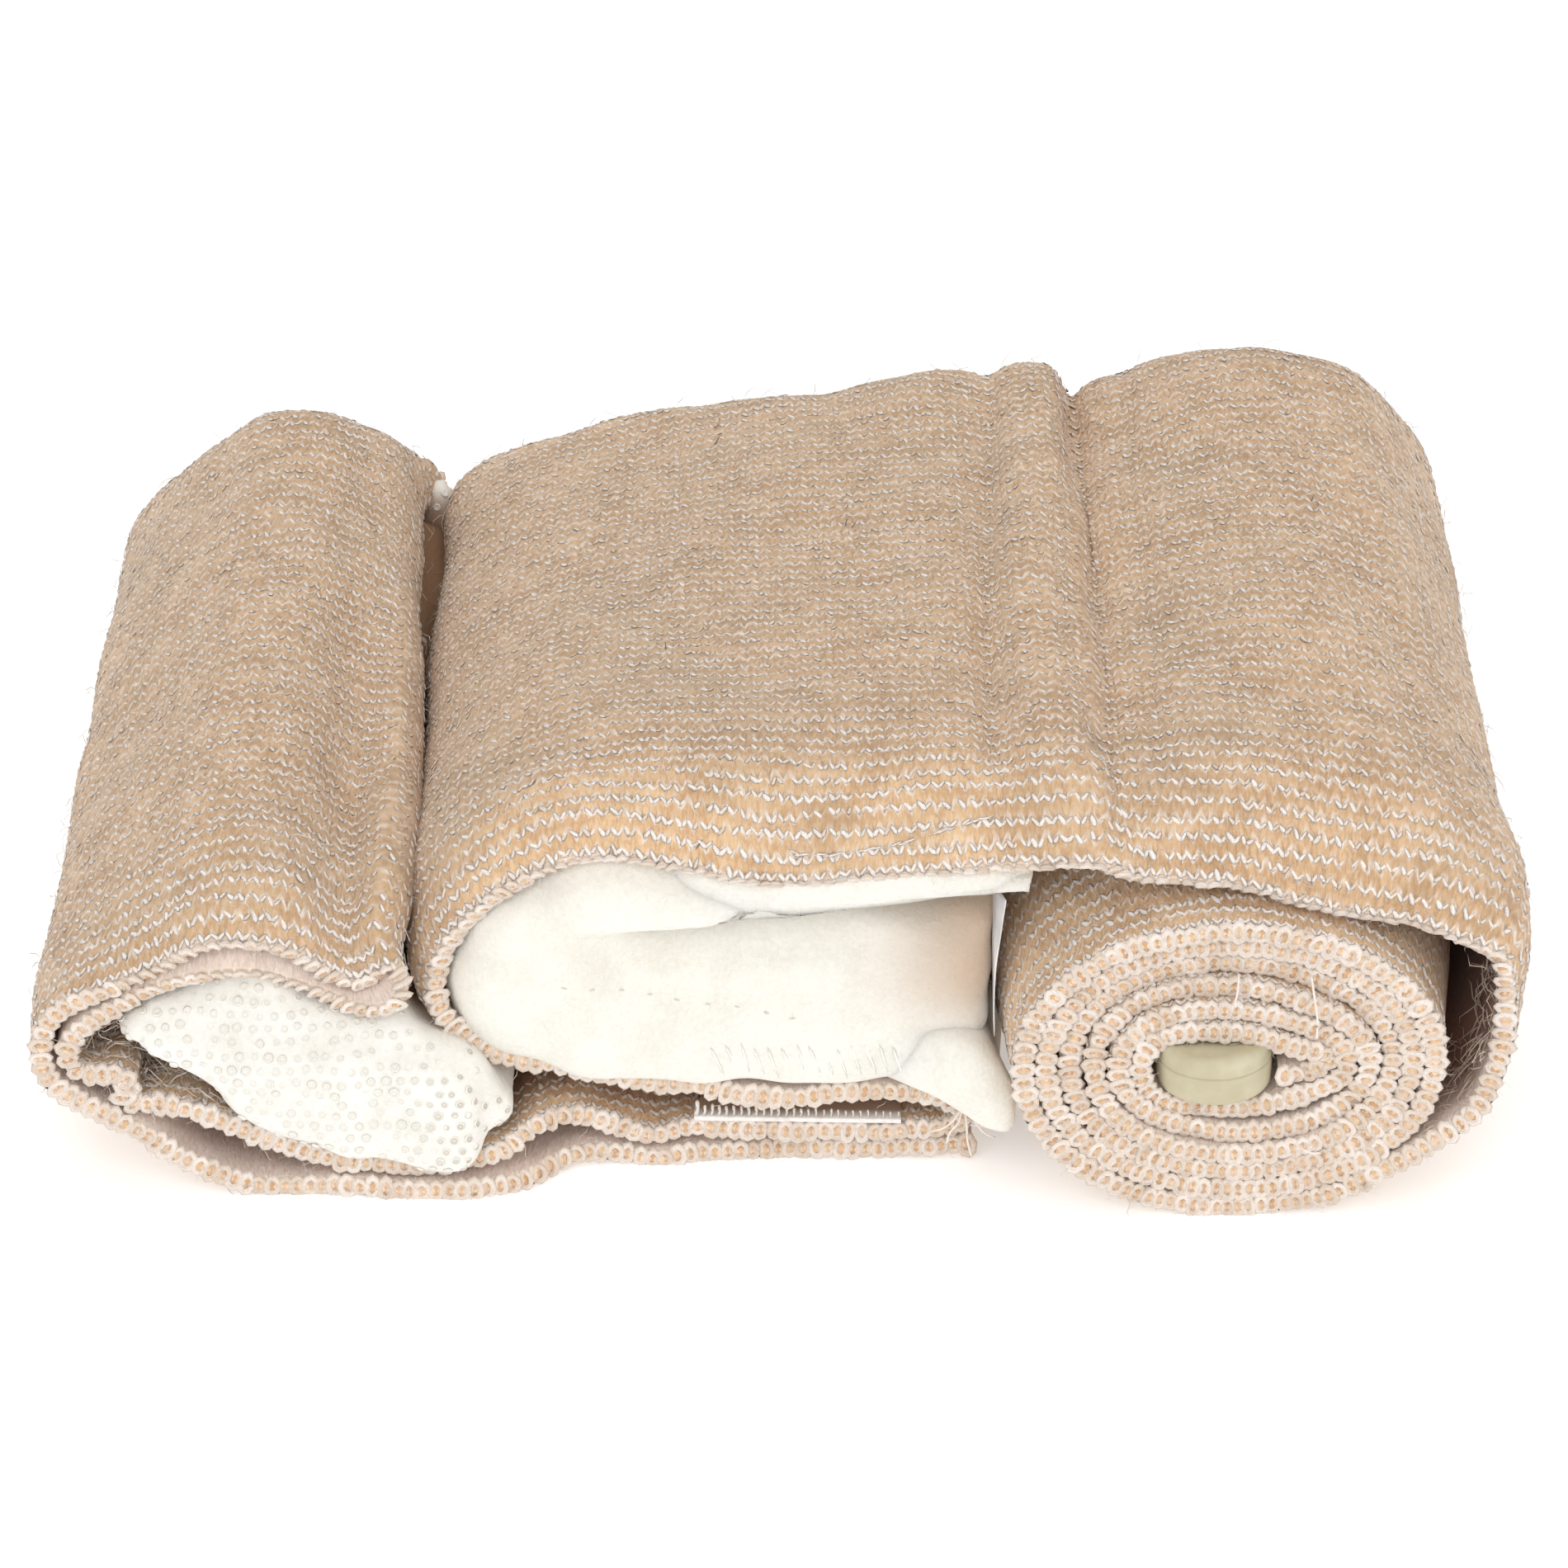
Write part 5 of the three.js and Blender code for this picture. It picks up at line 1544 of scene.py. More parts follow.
# %% The film pad's layers
FILM_PAD_WIDTH = 97.0
FILM_PAD_LOWER = filled(14, [
    (-60.3, 16.9, -48.8, 1.6, 2.0),
    (-58.0, 16.0, -49.0, 1.6, 2.0),
    (-55.6, 14.4, -49.4, 1.0, 1.4),
    (-53.0, 11.8, -49.6, 0.4, 0.6),
    (-50.4, 9.0, -49.8),
    (-46.0, 7.2, -50.0),
    (-41.5, 5.7, -50.2),
    (-37.0, 4.7, -50.4),
    (-32.4, 3.9, -50.8),
    (-29.4, 4.1, -50.8),
    (-27.9, 5.6, -50.8),
    (-27.1, 8.4, -50.6, 0, 0, -0.4),
    (-26.7, 11.2, -50.4, 0, 0, -0.6),
    (-28.4, 13.2, -50.2, 0, 0, -0.8),
    (-31.6, 14.8, -50.0, 0, 0, -0.8),
    (-35.0, 15.6, -49.8, 0.4, 0.4, -0.6),
    (-42.0, 16.4, -49.6, 1.4, 1.8, -0.2),
    (-50.0, 17.2, -49.4, 2.0, 3.0),
    (-57.0, 17.4, -49.0, 2.0, 3.0),
])
FILM_PAD_UPPER = filled(14, [
    (-59.2, 16.8, -48.4, 2.2, 3.4),
    (-50.0, 14.6, -48.6, 1.4, 2.0),
    (-42.0, 12.6, -48.8, 0.6, 0.8),
    (-33.0, 9.4, -49.0),
    (-27.2, 7.0, -49.2, 0, 0, -0.4),
    (-24.6, 7.4, -49.0, 0, 0, -0.6),
    (-23.8, 9.4, -48.8, 0, 0, -1.0),
    (-25.2, 12.0, -48.6, 0, 0, -1.6),
    (-28.6, 14.6, -48.6, 0, 0, -2.2),
    (-31.6, 16.6, -48.6, 0.4, 3.4, -3.2),
    (-34.4, 17.7, -48.4, 2.8, 6.4, -3.6),
    (-38.6, 17.7, -48.4, 3.4, 6.6, -1.4),
    (-41.4, 18.8, -48.4, 4.0, 8.4, -0.9),
    (-44.6, 20.3, -48.4, 4.7, 8.2, -0.4),
    (-48.0, 21.2, -48.4, 5.1, 8.0),
    (-51.6, 20.8, -48.4, 4.7, 7.6),
    (-55.4, 19.2, -48.4, 3.9, 6.8),
    (-58.8, 17.6, -48.4, 2.6, 4.8),
])
print("outlines of", len(FILM_PAD_LOWER + FILM_PAD_UPPER), "points in all")

# %% The film pad
PAD_PUFF = {"at": (-35.6, 46.3, 21.2), "radii": (2.0, 2.6, 3.4)}  # squeezed out at the groove's back end
FILM_PAD_LUMPS = [(17, 13, 0.28), (-9, 11, 0.2), (5.7, 4.9, 0.1)]
FILM_PAD_VOXEL = 0.68


def puff(name, at, radii):
    """A soft ball with three radii."""
    work = bmesh.new()
    bmesh.ops.create_icosphere(work, subdivisions=3, radius=1.0)
    points = np.array([v.co for v in work.verts]) * radii + at
    faces = [[v.index for v in face.verts] for face in work.faces]
    work.free()
    return make_object(name, points, faces)


film_pad = pad_from_layers("film_pad_soft", [
    (FILM_PAD_LOWER, FILM_PAD_WIDTH, 1.9, 4.0),
    (FILM_PAD_UPPER, FILM_PAD_WIDTH, 0.9, 2.2),
], FILM_PAD_VOXEL, 2)
film_pad = join_layers("film_pad_soft", [film_pad, puff("pad_puff", **PAD_PUFF)])
film_pad = lumpy(film_pad, FILM_PAD_LUMPS)
print("film pad has", len(film_pad.data.polygons), "faces")

# %% [markdown]
# ## Pad finishes
#
# Fleece is white with a touch of yellow, quite matt, and lets light pass a little. Two scales of noise in the
# bump make it fluffy. The film face is the same fleece under a thin skin with a faint gloss. Where a pad lies
# in the shadow of the cloth, a brown painted shade is mixed into its colour.

# %% Pad materials
# Where each pad gets painted shade: axis, and the places in mm where the shade starts and is full
FLEECE_PAINTED_SHADE = [(0, 2.0, 18.5), (2, 13.5, 21.0), (2, 29.4, 27.6)]
GROOVE_PAINTED_SHADE = [(0, -38.6, -36.8), (0, -29.0, -31.0), (2, 15.0, 17.0), (1, 46.0, 43.5), (1, -46.0, -43.0)]
HOLLOW_FULL = 0.95  # the most shade that a hollow takes


def hollow_mask(tree, place, hollow):
    """How much painted shade a place in a hollow takes. From left to right the shade comes in slowly."""
    axes = parts_of(tree, place)
    mask = HOLLOW_FULL
    for axis, first, last in hollow:
        level = ramp(tree, axes[axis], first * MM, last * MM)
        mask = calc(tree, "MULTIPLY", calc(tree, "POWER", level, 1.5) if axis == 0 else level, mask)
    return mask


def fleece_material(name, base, shade, roughness, fluff, sheen, hollow, painted_shade_colour):
    """Fleece, with a painted shade colour in a shaded hollow."""
    material, tree, shader = new_material(name)
    place = object_place(tree)
    streaks, clumping = fibres(tree, place, 2200.0, 0.5, 240.0)
    tone = weighted(tree, (streaks, 0.5), (clumping, 0.5))
    colour = mix_colour(tree, ramp(tree, tone, 0.3, 0.62), shade, base)
    relief = calc(tree, "ADD", calc(tree, "MULTIPLY", streaks, 0.5), clumping)
    fill(tree, shader, {
        "Base Color": mix_colour(tree, hollow_mask(tree, place, hollow), colour, painted_shade_colour),
        "Roughness": roughness, "Specular IOR Level": 0.2, "Sheen Weight": sheen,
        "Subsurface Weight": 0.25, "Subsurface Radius": (1.0, 0.95, 0.8), "Subsurface Scale": 2.0 * MM,
        "Normal": bump(tree, relief, fluff, 0.6),
    })
    return material


# The last colour of each pad is its painted shade
ivory_fleece = fleece_material("ivory_fleece", (0.875, 0.85, 0.785), (0.79, 0.76, 0.68), 0.97, 0.6, 0.1,
                               FLEECE_PAINTED_SHADE, (0.58, 0.44, 0.33))
film_face = fleece_material("perforated_film", (0.90, 0.88, 0.825), (0.82, 0.79, 0.725), 0.6, 0.45, 0.0,
                            GROOVE_PAINTED_SHADE, (0.34, 0.19, 0.10))
add_to_object(fleece, ivory_fleece, stands_for=["fleece_pad"])
add_to_object(film_pad, film_face, stands_for=["film_pad"])

# %% [markdown]
# ## Holes of the film face
#
# The film face is pierced with small round holes in a staggered grid, each with a soft raised rim. Rays from
# in front and from behind find the places on the pad and the way that its surface faces there, and a rim is
# set on each place.

# %% Rays onto a piece
RAYS_FROM = 80.0  # mm from the middle, outside everything


def on_surface(obj, starts, way):
    """Where rays from starts, in mm, meet a piece, with the normals there. Rays that miss are left out."""
    bpy.context.view_layer.update()
    places, normals = [], []
    for start in starts:
        met, place, normal, _ = obj.ray_cast(Vector(start) * MM, Vector(way))
        if met:
            places.append(np.array(place) / MM)
            normals.append(np.array(normal))
    return np.array(places), np.array(normals)


# %% The shape and finish of a perforation
# Each ring: radius, height and shade
HOLE_RINGS = [(0.0, 0.06, 0.35), (0.22, 0.05, 1.0), (0.32, 0.12, 0.15), (0.44, -0.08, 0.0)]
HOLE_SIDES = 8


def hole_shape():
    """A low round rim with a shaded middle. The attribute `shade` is 1 where the hole is deepest."""
    points, shades = [(0.0, 0.0, HOLE_RINGS[0][1])], [HOLE_RINGS[0][2]]
    for radius, high, shade in HOLE_RINGS[1:]:
        for a in np.arange(HOLE_SIDES) * 2 * math.pi / HOLE_SIDES:
            points.append((radius * math.cos(a), radius * math.sin(a), high))
            shades.append(shade)
    faces = [(0, 1 + i, 1 + (i + 1) % HOLE_SIDES) for i in range(HOLE_SIDES)]
    last = 1 + (len(HOLE_RINGS) - 2) * HOLE_SIDES
    for low in range(1, last, HOLE_SIDES):
        high = low + HOLE_SIDES
        for i in range(HOLE_SIDES):
            n = (i + 1) % HOLE_SIDES
            faces.append((low + i, high + i, high + n, low + n))
    faces.append(tuple(range(last, last + HOLE_SIDES))[::-1])
    shape = small_shape("perforation", points, faces)
    store(shape.data, "shade", shades)
    return shape


def hole_material():
    """The film's white, darker where a hole is deep."""
    material, tree, shader = new_material("pierced_film")
    dark = calc(tree, "MULTIPLY", stored(tree, "shade"), stored(tree, "tint"))
    fill(tree, shader, {
        "Base Color": mix_colour(tree, dark, (0.86, 0.84, 0.78), (0.50, 0.44, 0.36)),
        "Roughness": 0.5, "Specular IOR Level": 0.3,
    })
    return material


# %% Perforations
HOLE_PITCH = 1.32
HOLE_FIELD = {"x": (-62.0, -22.0), "z": (2.0, 30.0)}
HOLES_CLEAR_AT = (-36.0, -27.0)  # between these the holes go from faint to clear


def hole_starts(y):
    """A staggered grid of places in front of the pad or behind it."""
    rows = np.arange(*HOLE_FIELD["z"], HOLE_PITCH * math.sqrt(3) / 2)
    return [(x + (k % 2) * HOLE_PITCH / 2, y, z) for k, z in enumerate(rows)
            for x in np.arange(*HOLE_FIELD["x"], HOLE_PITCH)]


front_holes = on_surface(film_pad, hole_starts(-RAYS_FROM), (0, 1, 0))
back_holes = on_surface(film_pad, hole_starts(RAYS_FROM), (0, -1, 0))
hole_places, hole_normals = (np.concatenate(pair) for pair in zip(front_holes, back_holes))
hole_places = hole_places + rng.normal(0, 0.08, hole_places.shape)
clear = 0.28 + 0.72 * smoothstep(hole_places[:, 0], *HOLES_CLEAR_AT)
set_on_points("film_perforations", hole_shape(), hole_material(), hole_places, (1.0, 0.0, 0.2), hole_normals,
              (1.0, 1.0, 1.0), clear, jitter=(0.12, 0.1), seed=8, slot="pad_facing")

# %% [markdown]
# ## Stitches in the fleece
#
# A row of quilting stitches crosses the pad's front as short dents, and below it slanted threads hold the
# layers. They are the same spindle as the yarn, laid flat on the pad. A dent's spindle is dark with painted
# shade.

# %% Quilting stitches
DENT_ROW = [  # x and z
    (-19.7, 21.1), (-17.2, 20.7), (-14.6, 20.0), (-12.1, 19.4), (-9.6, 18.8), (-6.8, 18.4), (-4.2, 17.8),
    (-1.5, 17.2), (0.7, 16.8),
]
# A dent's tint makes its spindle dark: painted shade
DENT = {"way": (1.0, 0.0, -0.2), "size": (0.6, 0.26, 0.1), "tint": 0.3}
SLANTED_X = np.arange(-6.0, 11.5, 1.25)
SLANTED_Z = 13.0
SLANTED = {"way": (0.32, 0.0, -0.95), "size": (3.2, 0.3, 0.1), "tint": 1.0}


def stitch_material():
    """From the shade in a dent to the thread's own white."""
    material, tree, shader = new_material("stitch_shadow")
    tone = mix_colour(tree, stored(tree, "tint"), (0.58, 0.54, 0.45), (0.93, 0.91, 0.86))
    fill(tree, shader, {"Base Color": tone, "Roughness": 0.95})
    return material


dent_starts = [(x, -RAYS_FROM, z) for x, z in DENT_ROW]
slanted_starts = [(x, -RAYS_FROM, SLANTED_Z + 0.3 * math.sin(x)) for x in SLANTED_X]
dents, dent_normals = on_surface(fleece, dent_starts, (0, 1, 0))
threads, thread_normals = on_surface(fleece, slanted_starts, (0, 1, 0))
both_kinds = [DENT] * len(dents) + [SLANTED] * len(threads)
ways, sizes, tints = ([kind[label] for kind in both_kinds] for label in ("way", "size", "tint"))
set_on_points("fleece_quilting", SPINDLE, stitch_material(), np.concatenate([dents, threads]), ways,
              np.concatenate([dent_normals, thread_normals]), sizes, tints, jitter=(0.2, 0.12), seed=9,
              slot="fleece")

# %% [markdown]
# ## The closure bar
#
# A flat moulded bar with fully round ends. A parting line runs round its side, where the two halves of the
# mould met, and its edges are a little rounded. The bar is a stack of the same stadium outline, drawn in at
# the top and bottom.

# %% The closure bar
BAR = {"width": 10.4, "thick": 4.8, "length": 104.0, "x": 38.6, "z": 14.9, "front": -54.4, "tilt": 0.02}
BAR_ARC_STEPS = 40
BAR_SHARP = math.radians(35)
BAR_PROFILE = [  # height as a share of the thickness, and how far the outline is drawn in there, in mm
    (0.0, 0.9), (0.0, 0.55), (0.03, 0.22), (0.09, 0.04), (0.2, 0.0), (0.52, 0.0), (0.56, 0.02), (0.585, 0.13),
    (0.61, 0.02), (0.65, 0.0), (0.86, 0.0), (0.93, 0.05), (0.975, 0.24), (1.0, 0.55), (1.0, 0.9),
]


def stadium(width, length, steps):
    """A flat outline with half-round ends, centred on the origin."""
    r = width / 2
    half = length / 2 - r
    front = [(r * math.cos(a), -half + r * math.sin(a)) for a in np.linspace(-math.pi, 0, steps)]
    back = [(r * math.cos(a), half + r * math.sin(a)) for a in np.linspace(0, math.pi, steps)]
    return np.array(front + back)


def closure_bar():
    """The bar: rings of the outline, stacked, tilted a little and set in the roll."""
    rings = []
    for height, drawn in BAR_PROFILE:
        ring = stadium(BAR["width"] - 2 * drawn, BAR["length"] - 2 * drawn, BAR_ARC_STEPS)
        z = (height - 0.5) * BAR["thick"]
        rings.append(np.column_stack([ring, np.full(len(ring), z)]))
    flat = np.concatenate(rings)
    c, s = math.cos(BAR["tilt"]), math.sin(BAR["tilt"])
    turned = np.column_stack([flat[:, 0] * c - flat[:, 2] * s, flat[:, 1], flat[:, 0] * s + flat[:, 2] * c])
    place = np.array([BAR["x"], BAR["front"] + BAR["length"] / 2, BAR["z"]]) + FOOTPRINT_SHIFT
    faces = tube_faces(len(rings), len(rings[0]))
    return outward(make_object("closure_bar_moulded", turned + place, faces))


def bar_material():
    """Khaki plastic with a faint mottle and worn gloss."""
    material, tree, shader = new_material("khaki_plastic")
    place = object_place(tree)
    mottle, wear = noise(tree, place, 350.0, 4.0), noise(tree, place, 1800.0)
    fill(tree, shader, {
        "Base Color": mix_colour(tree, ramp(tree, mottle, 0.3, 0.7), (0.50, 0.45, 0.30), (0.59, 0.54, 0.38)),
        "Roughness": ramp(tree, wear, 0.3, 0.7, 0.42, 0.6),
        "Normal": bump(tree, wear, 0.12, 0.2),
    })
    return material


bar = closure_bar()
bar.data.set_sharp_from_angle(angle=BAR_SHARP)
add_to_object(bar, bar_material(), stands_for=["closure_bar"])

# %% [markdown]
# ## The hook strip
#
# A white tape lies on the cloth under the pad with its hooks up. The tape is a thin slab; the hooks are one
# bent hook, repeated in rows by Geometry Nodes.

# %% The hook tape
TAPE = {"left": -8.2, "right": 10.7, "front": -44.4, "length": 84.0, "z": 4.85, "drop": 0.3, "thick": 0.45}


def tape_slab():
    """The tape as a thin slab with bevelled edges."""
    low = TAPE["z"]
    corners = []
    for x, z in ((TAPE["left"], low), (TAPE["right"], low - TAPE["drop"])):
        for y in (TAPE["front"], TAPE["front"] + TAPE["length"]):
            corners.append((x, y, z))
            corners.append((x, y, z + TAPE["thick"]))
    faces = [(0, 1, 3, 2), (4, 6, 7, 5), (0, 4, 5, 1), (2, 3, 7, 6), (1, 5, 7, 3), (0, 2, 6, 4)]
    slab = outward(make_object("hook_tape", np.array(corners) + FOOTPRINT_SHIFT, faces, smooth=False))
    bevel = slab.modifiers.new("edges", "BEVEL")
    bevel.width = 0.08 * MM
    bevel.segments = 2
    return apply_modifiers(slab)


def tape_material():
    """White nylon, shaded a little way into the fold."""
    material, tree, shader = new_material("hook_nylon")
    place = object_place(tree)
    streaks = fibres(tree, place, 1500.0, 0.2, 600.0)[0]
    white = mix_colour(tree, ramp(tree, streaks, 0.3, 0.7), (0.78, 0.73, 0.69), (0.92, 0.89, 0.86))
    front = (TAPE["front"] + FOOTPRINT_SHIFT[1]) * MM
    behind = ramp(tree, parts_of(tree, place)[1], front + 0.5 * MM, front + 1.8 * MM, 0.0, 0.85)
    fill(tree, shader, {
        "Base Color": mix_colour(tree, behind, white, (0.30, 0.17, 0.10)), "Roughness": 0.55,
        "Subsurface Weight": 0.15, "Subsurface Radius": (1.0, 0.9, 0.8), "Subsurface Scale": 1.0 * MM,
    })
    return material


tape = tape_slab()
hook_nylon = tape_material()
add_to_object(tape, hook_nylon, stands_for=["hook_strip"])

# %% The hooks
HOOKS = {"pitch": 0.68, "row": 3.0, "left": 1.35, "right": 0.75, "post": 1.75}  # the last three are heights
HOOK = tube_shape("hook", [(0, 0, 0), (0, 0, 0.55), (0, -0.08, 0.84), (0, -0.28, 1.0), (0, -0.5, 0.88)],
                  [0.15, 0.12, 0.11, 0.1, 0.05], 4)


def hook_places():
    """Each hook's foot on the tape, and its height. The hooks at the left end are the tallest."""
    places, heights = [], []
    span = TAPE["right"] - TAPE["left"]
    for y in np.arange(TAPE["front"] + 0.35, TAPE["front"] + TAPE["length"], HOOKS["row"]):
        for x in np.arange(TAPE["left"] + 0.25, TAPE["right"], HOOKS["pitch"]):
            share = (x - TAPE["left"]) / span
            places.append((x, y, TAPE["z"] + TAPE["thick"] - TAPE["drop"] * share - 0.05))
            tall = HOOKS["left"] + (HOOKS["right"] - HOOKS["left"]) * share
            heights.append(HOOKS["post"] if share < 0.03 else tall)
    return np.array(places) + FOOTPRINT_SHIFT, np.array(heights)


feet, tall = hook_places()
set_on_points("tape_hooks", HOOK, hook_nylon, feet, (1.0, 0.0, 0.0), (0.0, 0.0, 1.0),
              tall[:, None] * (1, 1, 1), 1.0, jitter=(0.06, 0.08), seed=11, slot="hook_tape")

# %% [markdown]
# ## The clear film's edge
#
# A sheet of clear film stands between the pad and the roll, and its upper edge curls a little to the left.
# From the front its edge shows as a bright line.

# %% The clear film
FILM_EDGE = filled(12, [
    (19.0, 14.6, -45.6),
    (18.9, 18.0, -45.8),
    (19.0, 22.0, -46.0, 0, 0, -0.3),
    (19.4, 25.6, -46.2, 0, 0, -0.8),
    (19.8, 29.2, -46.4, 0, 0, -1.1),
])
FILM_WIDTH = 84.0
FILM_THICK = 0.15
FILM_CURVE_STEP, FILM_STEP, FILM_STATIONS = 0.3, 0.8, 40


def film_material():
    """Clear film that is cloudy in places."""
    material, tree, shader = new_material("clear_film")
    ripples = noise(tree, object_place(tree), 160.0)
    fill(tree, shader, {
        "Base Color": (0.97, 0.98, 1.0, 1), "Roughness": 0.1, "Specular IOR Level": 0.9,
        "Alpha": ramp(tree, ripples, 0.35, 0.65, 0.6, 0.95),
        "Normal": bump(tree, ripples, 0.3, 1.0),
    })
    return material


film_curve = catmull_rom(np.array([(*row, 0.0) for row in FILM_EDGE]), FILM_CURVE_STEP)
film_rows, film_run = even_rows(film_curve, FILM_STEP)
film_stations = np.linspace(FILM_THICK / 2, FILM_WIDTH - FILM_THICK / 2, FILM_STATIONS)
film_grid = spread_across(film_rows, film_stations, FILM_WIDTH)
film = ring_sheet("clear_film_sheet", film_grid, FILM_THICK, film_run, film_stations)
add_to_object(film, film_material(), stands_for=["clear_film"])

# %% [markdown]
# ## Loose threads
#
# Where the strip was cut, five white threads hang out, each only some millimetres long, and three more lie
# on the roll. Each is a round tube on a smooth curve. A last thread is sewn across the cover, in short and
# long stitches that follow the cloth.

# %% Loose threads
THREAD_RADIUS, THREAD_SIDES = 0.1, 6
THREADS = [  # each a few places in mm, from its root to its tip
    [(16.3, -46.4, 7.2), (15.6, -47.2, 6.2), (14.6, -47.3, 5.2), (13.2, -46.8, 4.4)],
    [(16.4, -46.4, 7.0), (16.6, -47.5, 5.6), (16.7, -47.7, 4.0), (17.1, -47.6, 2.3)],
    [(16.6, -46.4, 7.0), (17.3, -47.2, 5.9), (18.1, -47.4, 4.8), (19.2, -47.0, 3.9)],
    [(16.2, -46.4, 7.1), (15.9, -47.3, 5.8), (15.1, -47.5, 4.8), (14.8, -47.4, 3.6)],
    [(17.0, -45.6, 4.4), (18.4, -46.2, 4.6), (19.6, -46.0, 4.1), (20.6, -46.2, 4.5)],
    [(40.4, -52.2, 24.4), (40.3, -53.0, 23.2), (40.0, -53.6, 21.8)],
    [(46.8, -52.6, 24.4), (47.1, -53.6, 22.6), (47.4, -54.0, 20.6), (47.4, -54.0, 18.8)],
    [(46.4, -55.2, 8.0), (47.2, -55.4, 7.6), (48.1, -55.2, 7.5)],
]


def thread_mesh(name, lines):
    """One mesh of round tubes through lists of places."""
    parts = []
    for k, line in enumerate(lines):
        rows = np.array(line, float)[:, [0, 2, 1]]
        fine = catmull_rom(rows, CURVE_STEP)[:, [0, 2, 1]]
        radii = np.full(len(fine), THREAD_RADIUS * MM)
        parts.append(tube_shape(name + "_" + str(k), fine * MM, radii, THREAD_SIDES))
    return join_layers(name, parts)


loose = thread_mesh("loose_threads", THREADS)
store(loose.data, "tint", np.ones(len(loose.data.vertices)))
bpy.context.scene.collection.objects.link(loose)
add_to_object(loose, white_yarn)

# %% The seam thread
SEAM_FROM = -60.0  # y of the plane in front from which the camera's line of sight finds the cover
SEAM = [(1.0, 40.95), (4.7, 40.75), (8.1, 41.4), (12.1, 42.55), (15.2, 43.5), (19.1, 44.9)]  # x and z there
SEAM_STEP = 0.6
SEAM_SIGHT = (0, 0.875, -0.485)
LONG_STITCH, SHORT_STITCH = 1.5, 0.5

seam_x = np.arange(SEAM[0][0], SEAM[-1][0], SEAM_STEP)
seam_z = np.interp(seam_x, *zip(*SEAM)) + rng.normal(0, 0.08, len(seam_x))
seam_at, seam_up = on_surface(wrap, [(x, SEAM_FROM, z) for x, z in zip(seam_x, seam_z)], SEAM_SIGHT)
seam_way = unit(np.gradient(seam_at, axis=0))
seam_long = np.where(np.sin(seam_x * 1.9) > -0.2, LONG_STITCH, SHORT_STITCH)[:, None] * (1, 0.17, 0.11)
set_on_points("seam_thread", SPINDLE, white_yarn, seam_at + seam_up * 0.12, seam_way, seam_up, seam_long, 1.0,
              jitter=(0.3, 0.22), seed=21)

# %% [markdown]
# ## Dark lint
#
# A few short dark fibres are caught in the cover. They are the yarn's spindle again, thin and grey.

# %% Dark lint
LINT = [  # x and y
    (-6.8, 40.2), (-6.5, 38.6), (-6.7, 36.9), (-6.4, 34.6), (-6.7, 32.9), (6.0, 9.8), (6.7, 9.0),
    (-11.8, -14.8), (-11.0, -15.5), (-7.5, -47.0), (50.7, 8.4), (51.2, 7.7),
]
LINT_LIFT = 0.25


def lint_material():
    """Dull grey fibre."""
    material, tree, shader = new_material("grey_lint")
    fill(tree, shader, {"Base Color": (0.16, 0.15, 0.13, 1), "Roughness": 0.8})
    return material


lint_at, lint_up = on_surface(wrap, [(x, y, RAYS_FROM) for x, y in LINT], (0, 0, -1))
set_on_points("dark_lint", SPINDLE, lint_material(), lint_at + (0, 0, LINT_LIFT), (0.5, 0.85, 0.0), lint_up,
              (1.2, 0.16, 0.12), 1.0, jitter=(0.35, 0.7), seed=17)

# %% [markdown]
# ## Fuzz
#
# Nothing makes a knit look soft like its stray fibres. Thousands of fine curved hairs stand on the selvedges
# and the outer face, a few of them long. Each hair is a tube with three sides and two pointed ends.

# %% Hairs along the selvedges
HAIR = tube_shape("stray_fibre", [(0, 0, 0), (0.34, 0.07, 0.2), (0.7, -0.05, 0.3), (1.0, 0.14, 0.22)],
                  [0, 0.016, 0.013, 0], 3)
HAIRS_PER_MM = 2.4

for label, v, outwards in (("front", ACROSS[0], -1.0), ("back", ACROSS[-1], 1.0)):
    count = int(STRIP_LENGTH * HAIRS_PER_MM)
    u = rng.uniform(0, STRIP_LENGTH, count)
    places, tangent, _, facing = on_cloth(u, np.full(count, v), -1, -EDGE)
    out = np.tile([0.0, outwards, 0.0], (count, 1))
    ways = unit(out * rng.uniform(0.1, 0.8, (count, 1)) + tangent * rng.normal(0, 1, (count, 1))
                + facing * rng.normal(0, 1, (count, 1)))
    places = places + facing * rng.uniform(-0.9, 0.9, (count, 1)) + out * 0.8
    lengths = rng.uniform(0.7, 1.7, (count, 1)) * (1, 1, 1)
    set_on_points("fuzz_of_" + label, HAIR, white_yarn, places, ways, out * 0.1, lengths,
                  rng.uniform(0.5, 1.0, count), jitter=(0.2, 0.4), seed=12)

# %% Hairs on the faces
FACE_HAIRS, CAVITY_HAIRS = 1700, 560


def hairs_on_cloth(name, u, v, side, lengths, upright, tints, seed):
    """Loose hairs on a face. The higher upright is, the more they stand off it."""
    places, tangent, across, facing = on_cloth(u, v, side)
    turn = rng.normal(0, 1, (len(u), 2))
    ways = unit(tangent * turn[:, :1] + across * turn[:, 1:] + facing * upright)
    sizes = np.column_stack([lengths] * 3)
    return set_on_points(name, HAIR, white_yarn, places, ways, facing * 0.3, sizes, tints, (0.1, 0.4), seed)


u = np.concatenate([rng.uniform(*SHOWN[1], FACE_HAIRS), rng.uniform(*SHOWN[2], FACE_HAIRS // 2)])
v = rng.uniform(1, STRIP_WIDTH - 1, len(u))
lengths, tints = rng.uniform(0.8, 2.6, len(u)), rng.uniform(0.3, 0.9, len(u))
hairs_on_cloth("fuzz_of_face", u, v, -1, lengths, 0.35, tints, 13)
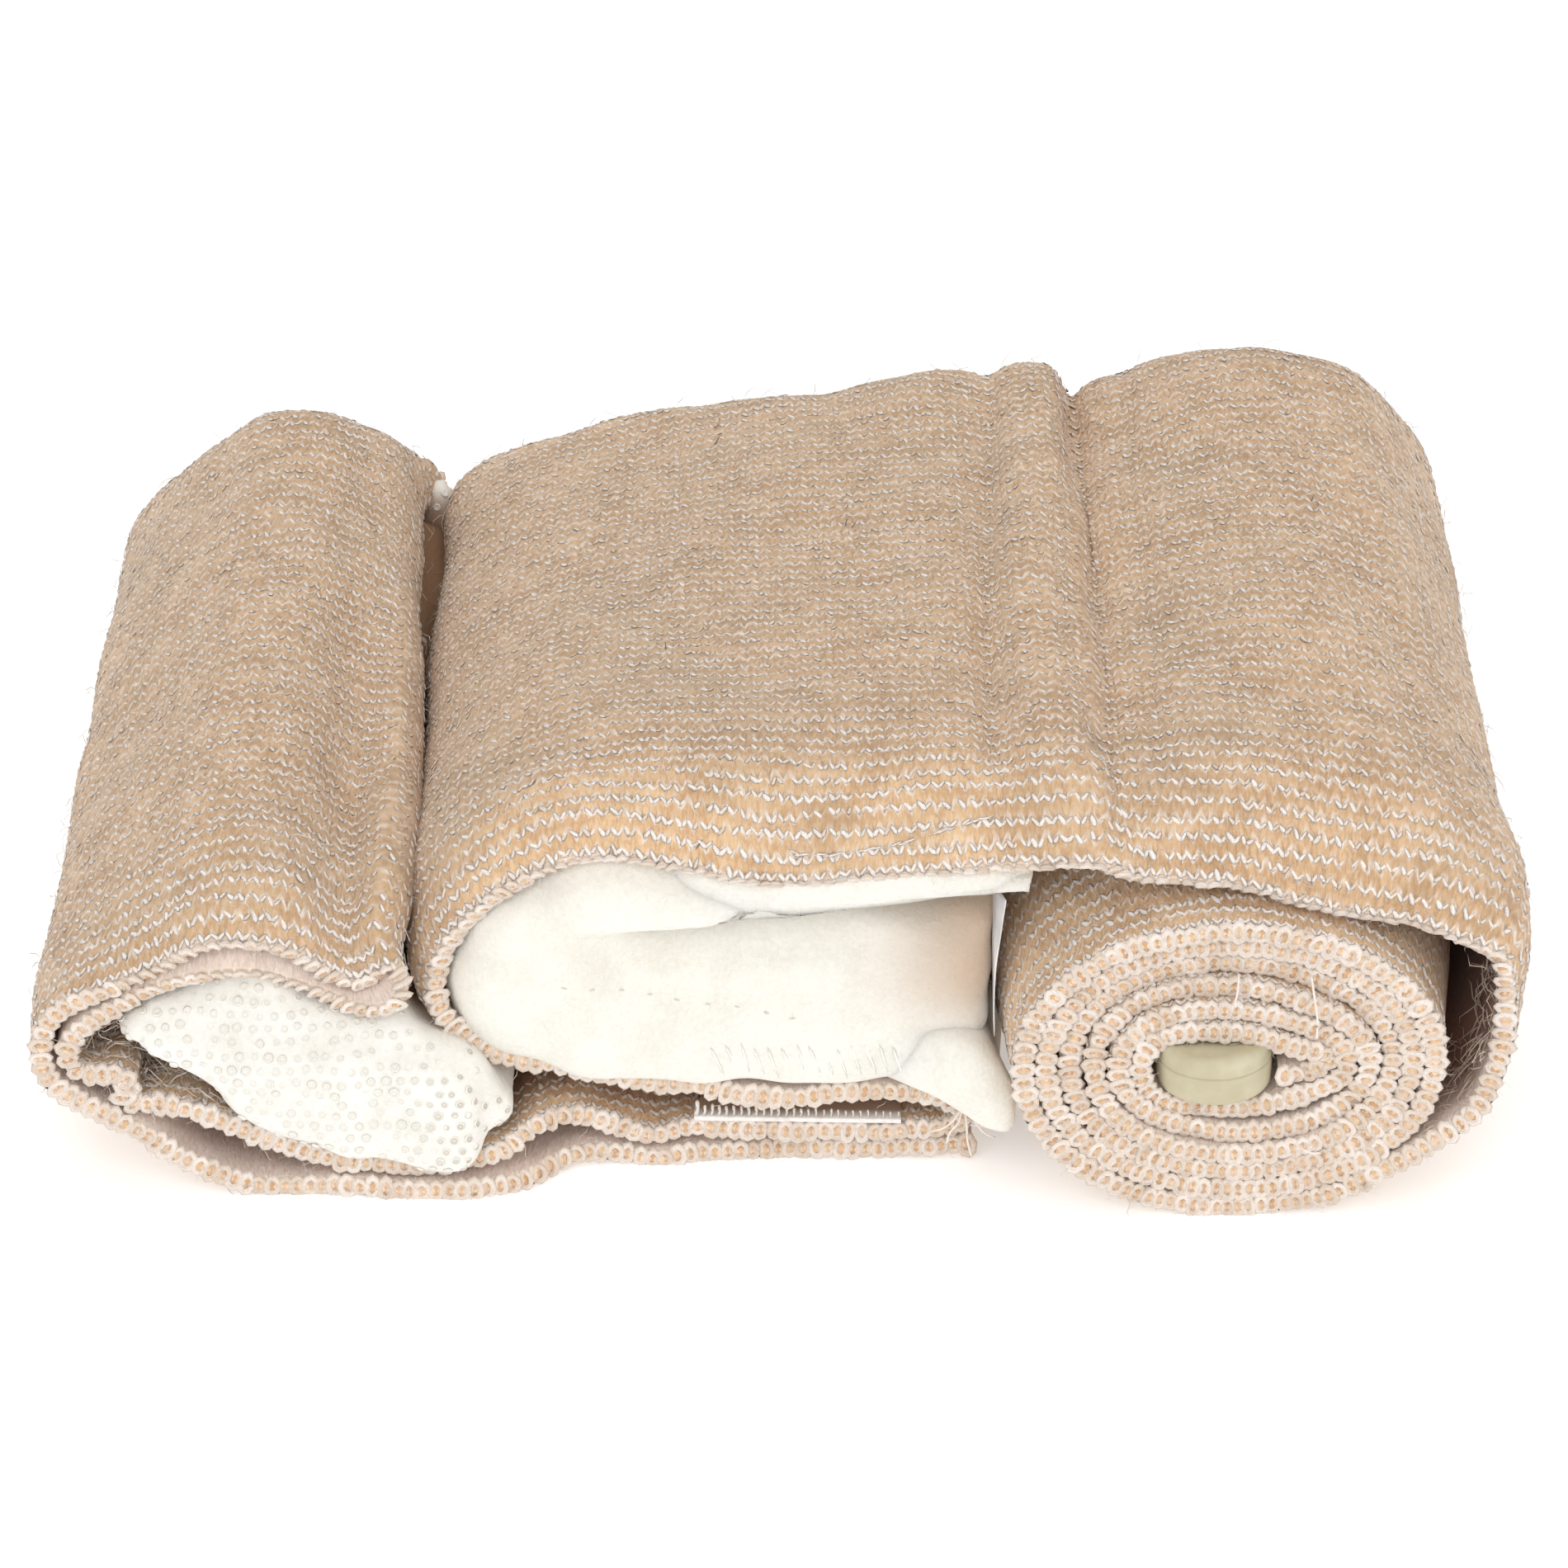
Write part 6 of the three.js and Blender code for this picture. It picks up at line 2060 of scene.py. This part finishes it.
# The open loop at the right and the cavity at the left are full of long fibres
loop_part = (length_at(59.0, 8.0), length_at(63.7, 24.1))
cavity_part = (length_at(-46.0, 5.5), length_at(-60.0, 18.9))
u = np.concatenate([rng.uniform(*loop_part, CAVITY_HAIRS // 3), rng.uniform(*cavity_part, CAVITY_HAIRS)])
v = rng.uniform(0.5, 12.0, len(u))
side = np.where(u < cavity_part[0], 1, -1)[:, None]
lengths, tints = rng.uniform(2.0, 4.6, len(u)), rng.uniform(0.1, 0.7, len(u))
hairs_on_cloth("fuzz_of_cavities", u, v, side, lengths, 0.9, tints, 14)

# %% [markdown]
# ## Floor and light
#
# The photograph is a product shot: a white ground, a broad light from above and in front, and hardly a
# shadow. The floor glows faintly, so that it stays white where the lights grow weak.

# %% Floor, lights and world
FLOOR_HALF, FLOOR_DROP = 2000.0, -0.1
FLOOR_GLOW = 0.34
LIGHTS = {  # place and size in metres, and power in watts
    "key": ((-0.35, -0.95, 0.75), 0.9, 6.2),
    "fill": ((0.75, -0.75, 0.55), 0.9, 2.6),
    "top": ((0.05, 0.25, 1.3), 1.4, 6.0),
}
LIT_PLACE = (0, 0, 0.02)
WORLD_LIGHT = 0.5

floor_material, floor_tree, floor_shader = new_material("pale_floor")
fill(floor_tree, floor_shader, {
    "Base Color": (0.93, 0.93, 0.93, 1), "Roughness": 0.9, "Emission Color": (1, 1, 1, 1),
    "Emission Strength": FLOOR_GLOW,
})
corners = [(x * FLOOR_HALF, y * FLOOR_HALF, FLOOR_DROP) for x, y in ((-1, -1), (1, -1), (1, 1), (-1, 1))]
floor = make_object("floor", corners, [(0, 1, 2, 3)], smooth=False)
floor.data.materials.append(floor_material)

for name, (place, size, power) in LIGHTS.items():
    lamp = in_scene(name, bpy.data.lights.new(name, "AREA"))
    lamp.data.size = size
    lamp.data.energy = power
    lamp.location = place
    lamp.rotation_euler = (Vector(LIT_PLACE) - Vector(place)).to_track_quat("-Z", "Y").to_euler()

world = bpy.data.worlds.new("studio")
world.use_nodes = True
fill(world.node_tree, world.node_tree.nodes["Background"], {"Color": (1, 1, 1, 1), "Strength": WORLD_LIGHT})
bpy.context.scene.world = world
bpy.context.scene.view_settings.view_transform = "Standard"
print("lights:", ", ".join(LIGHTS))
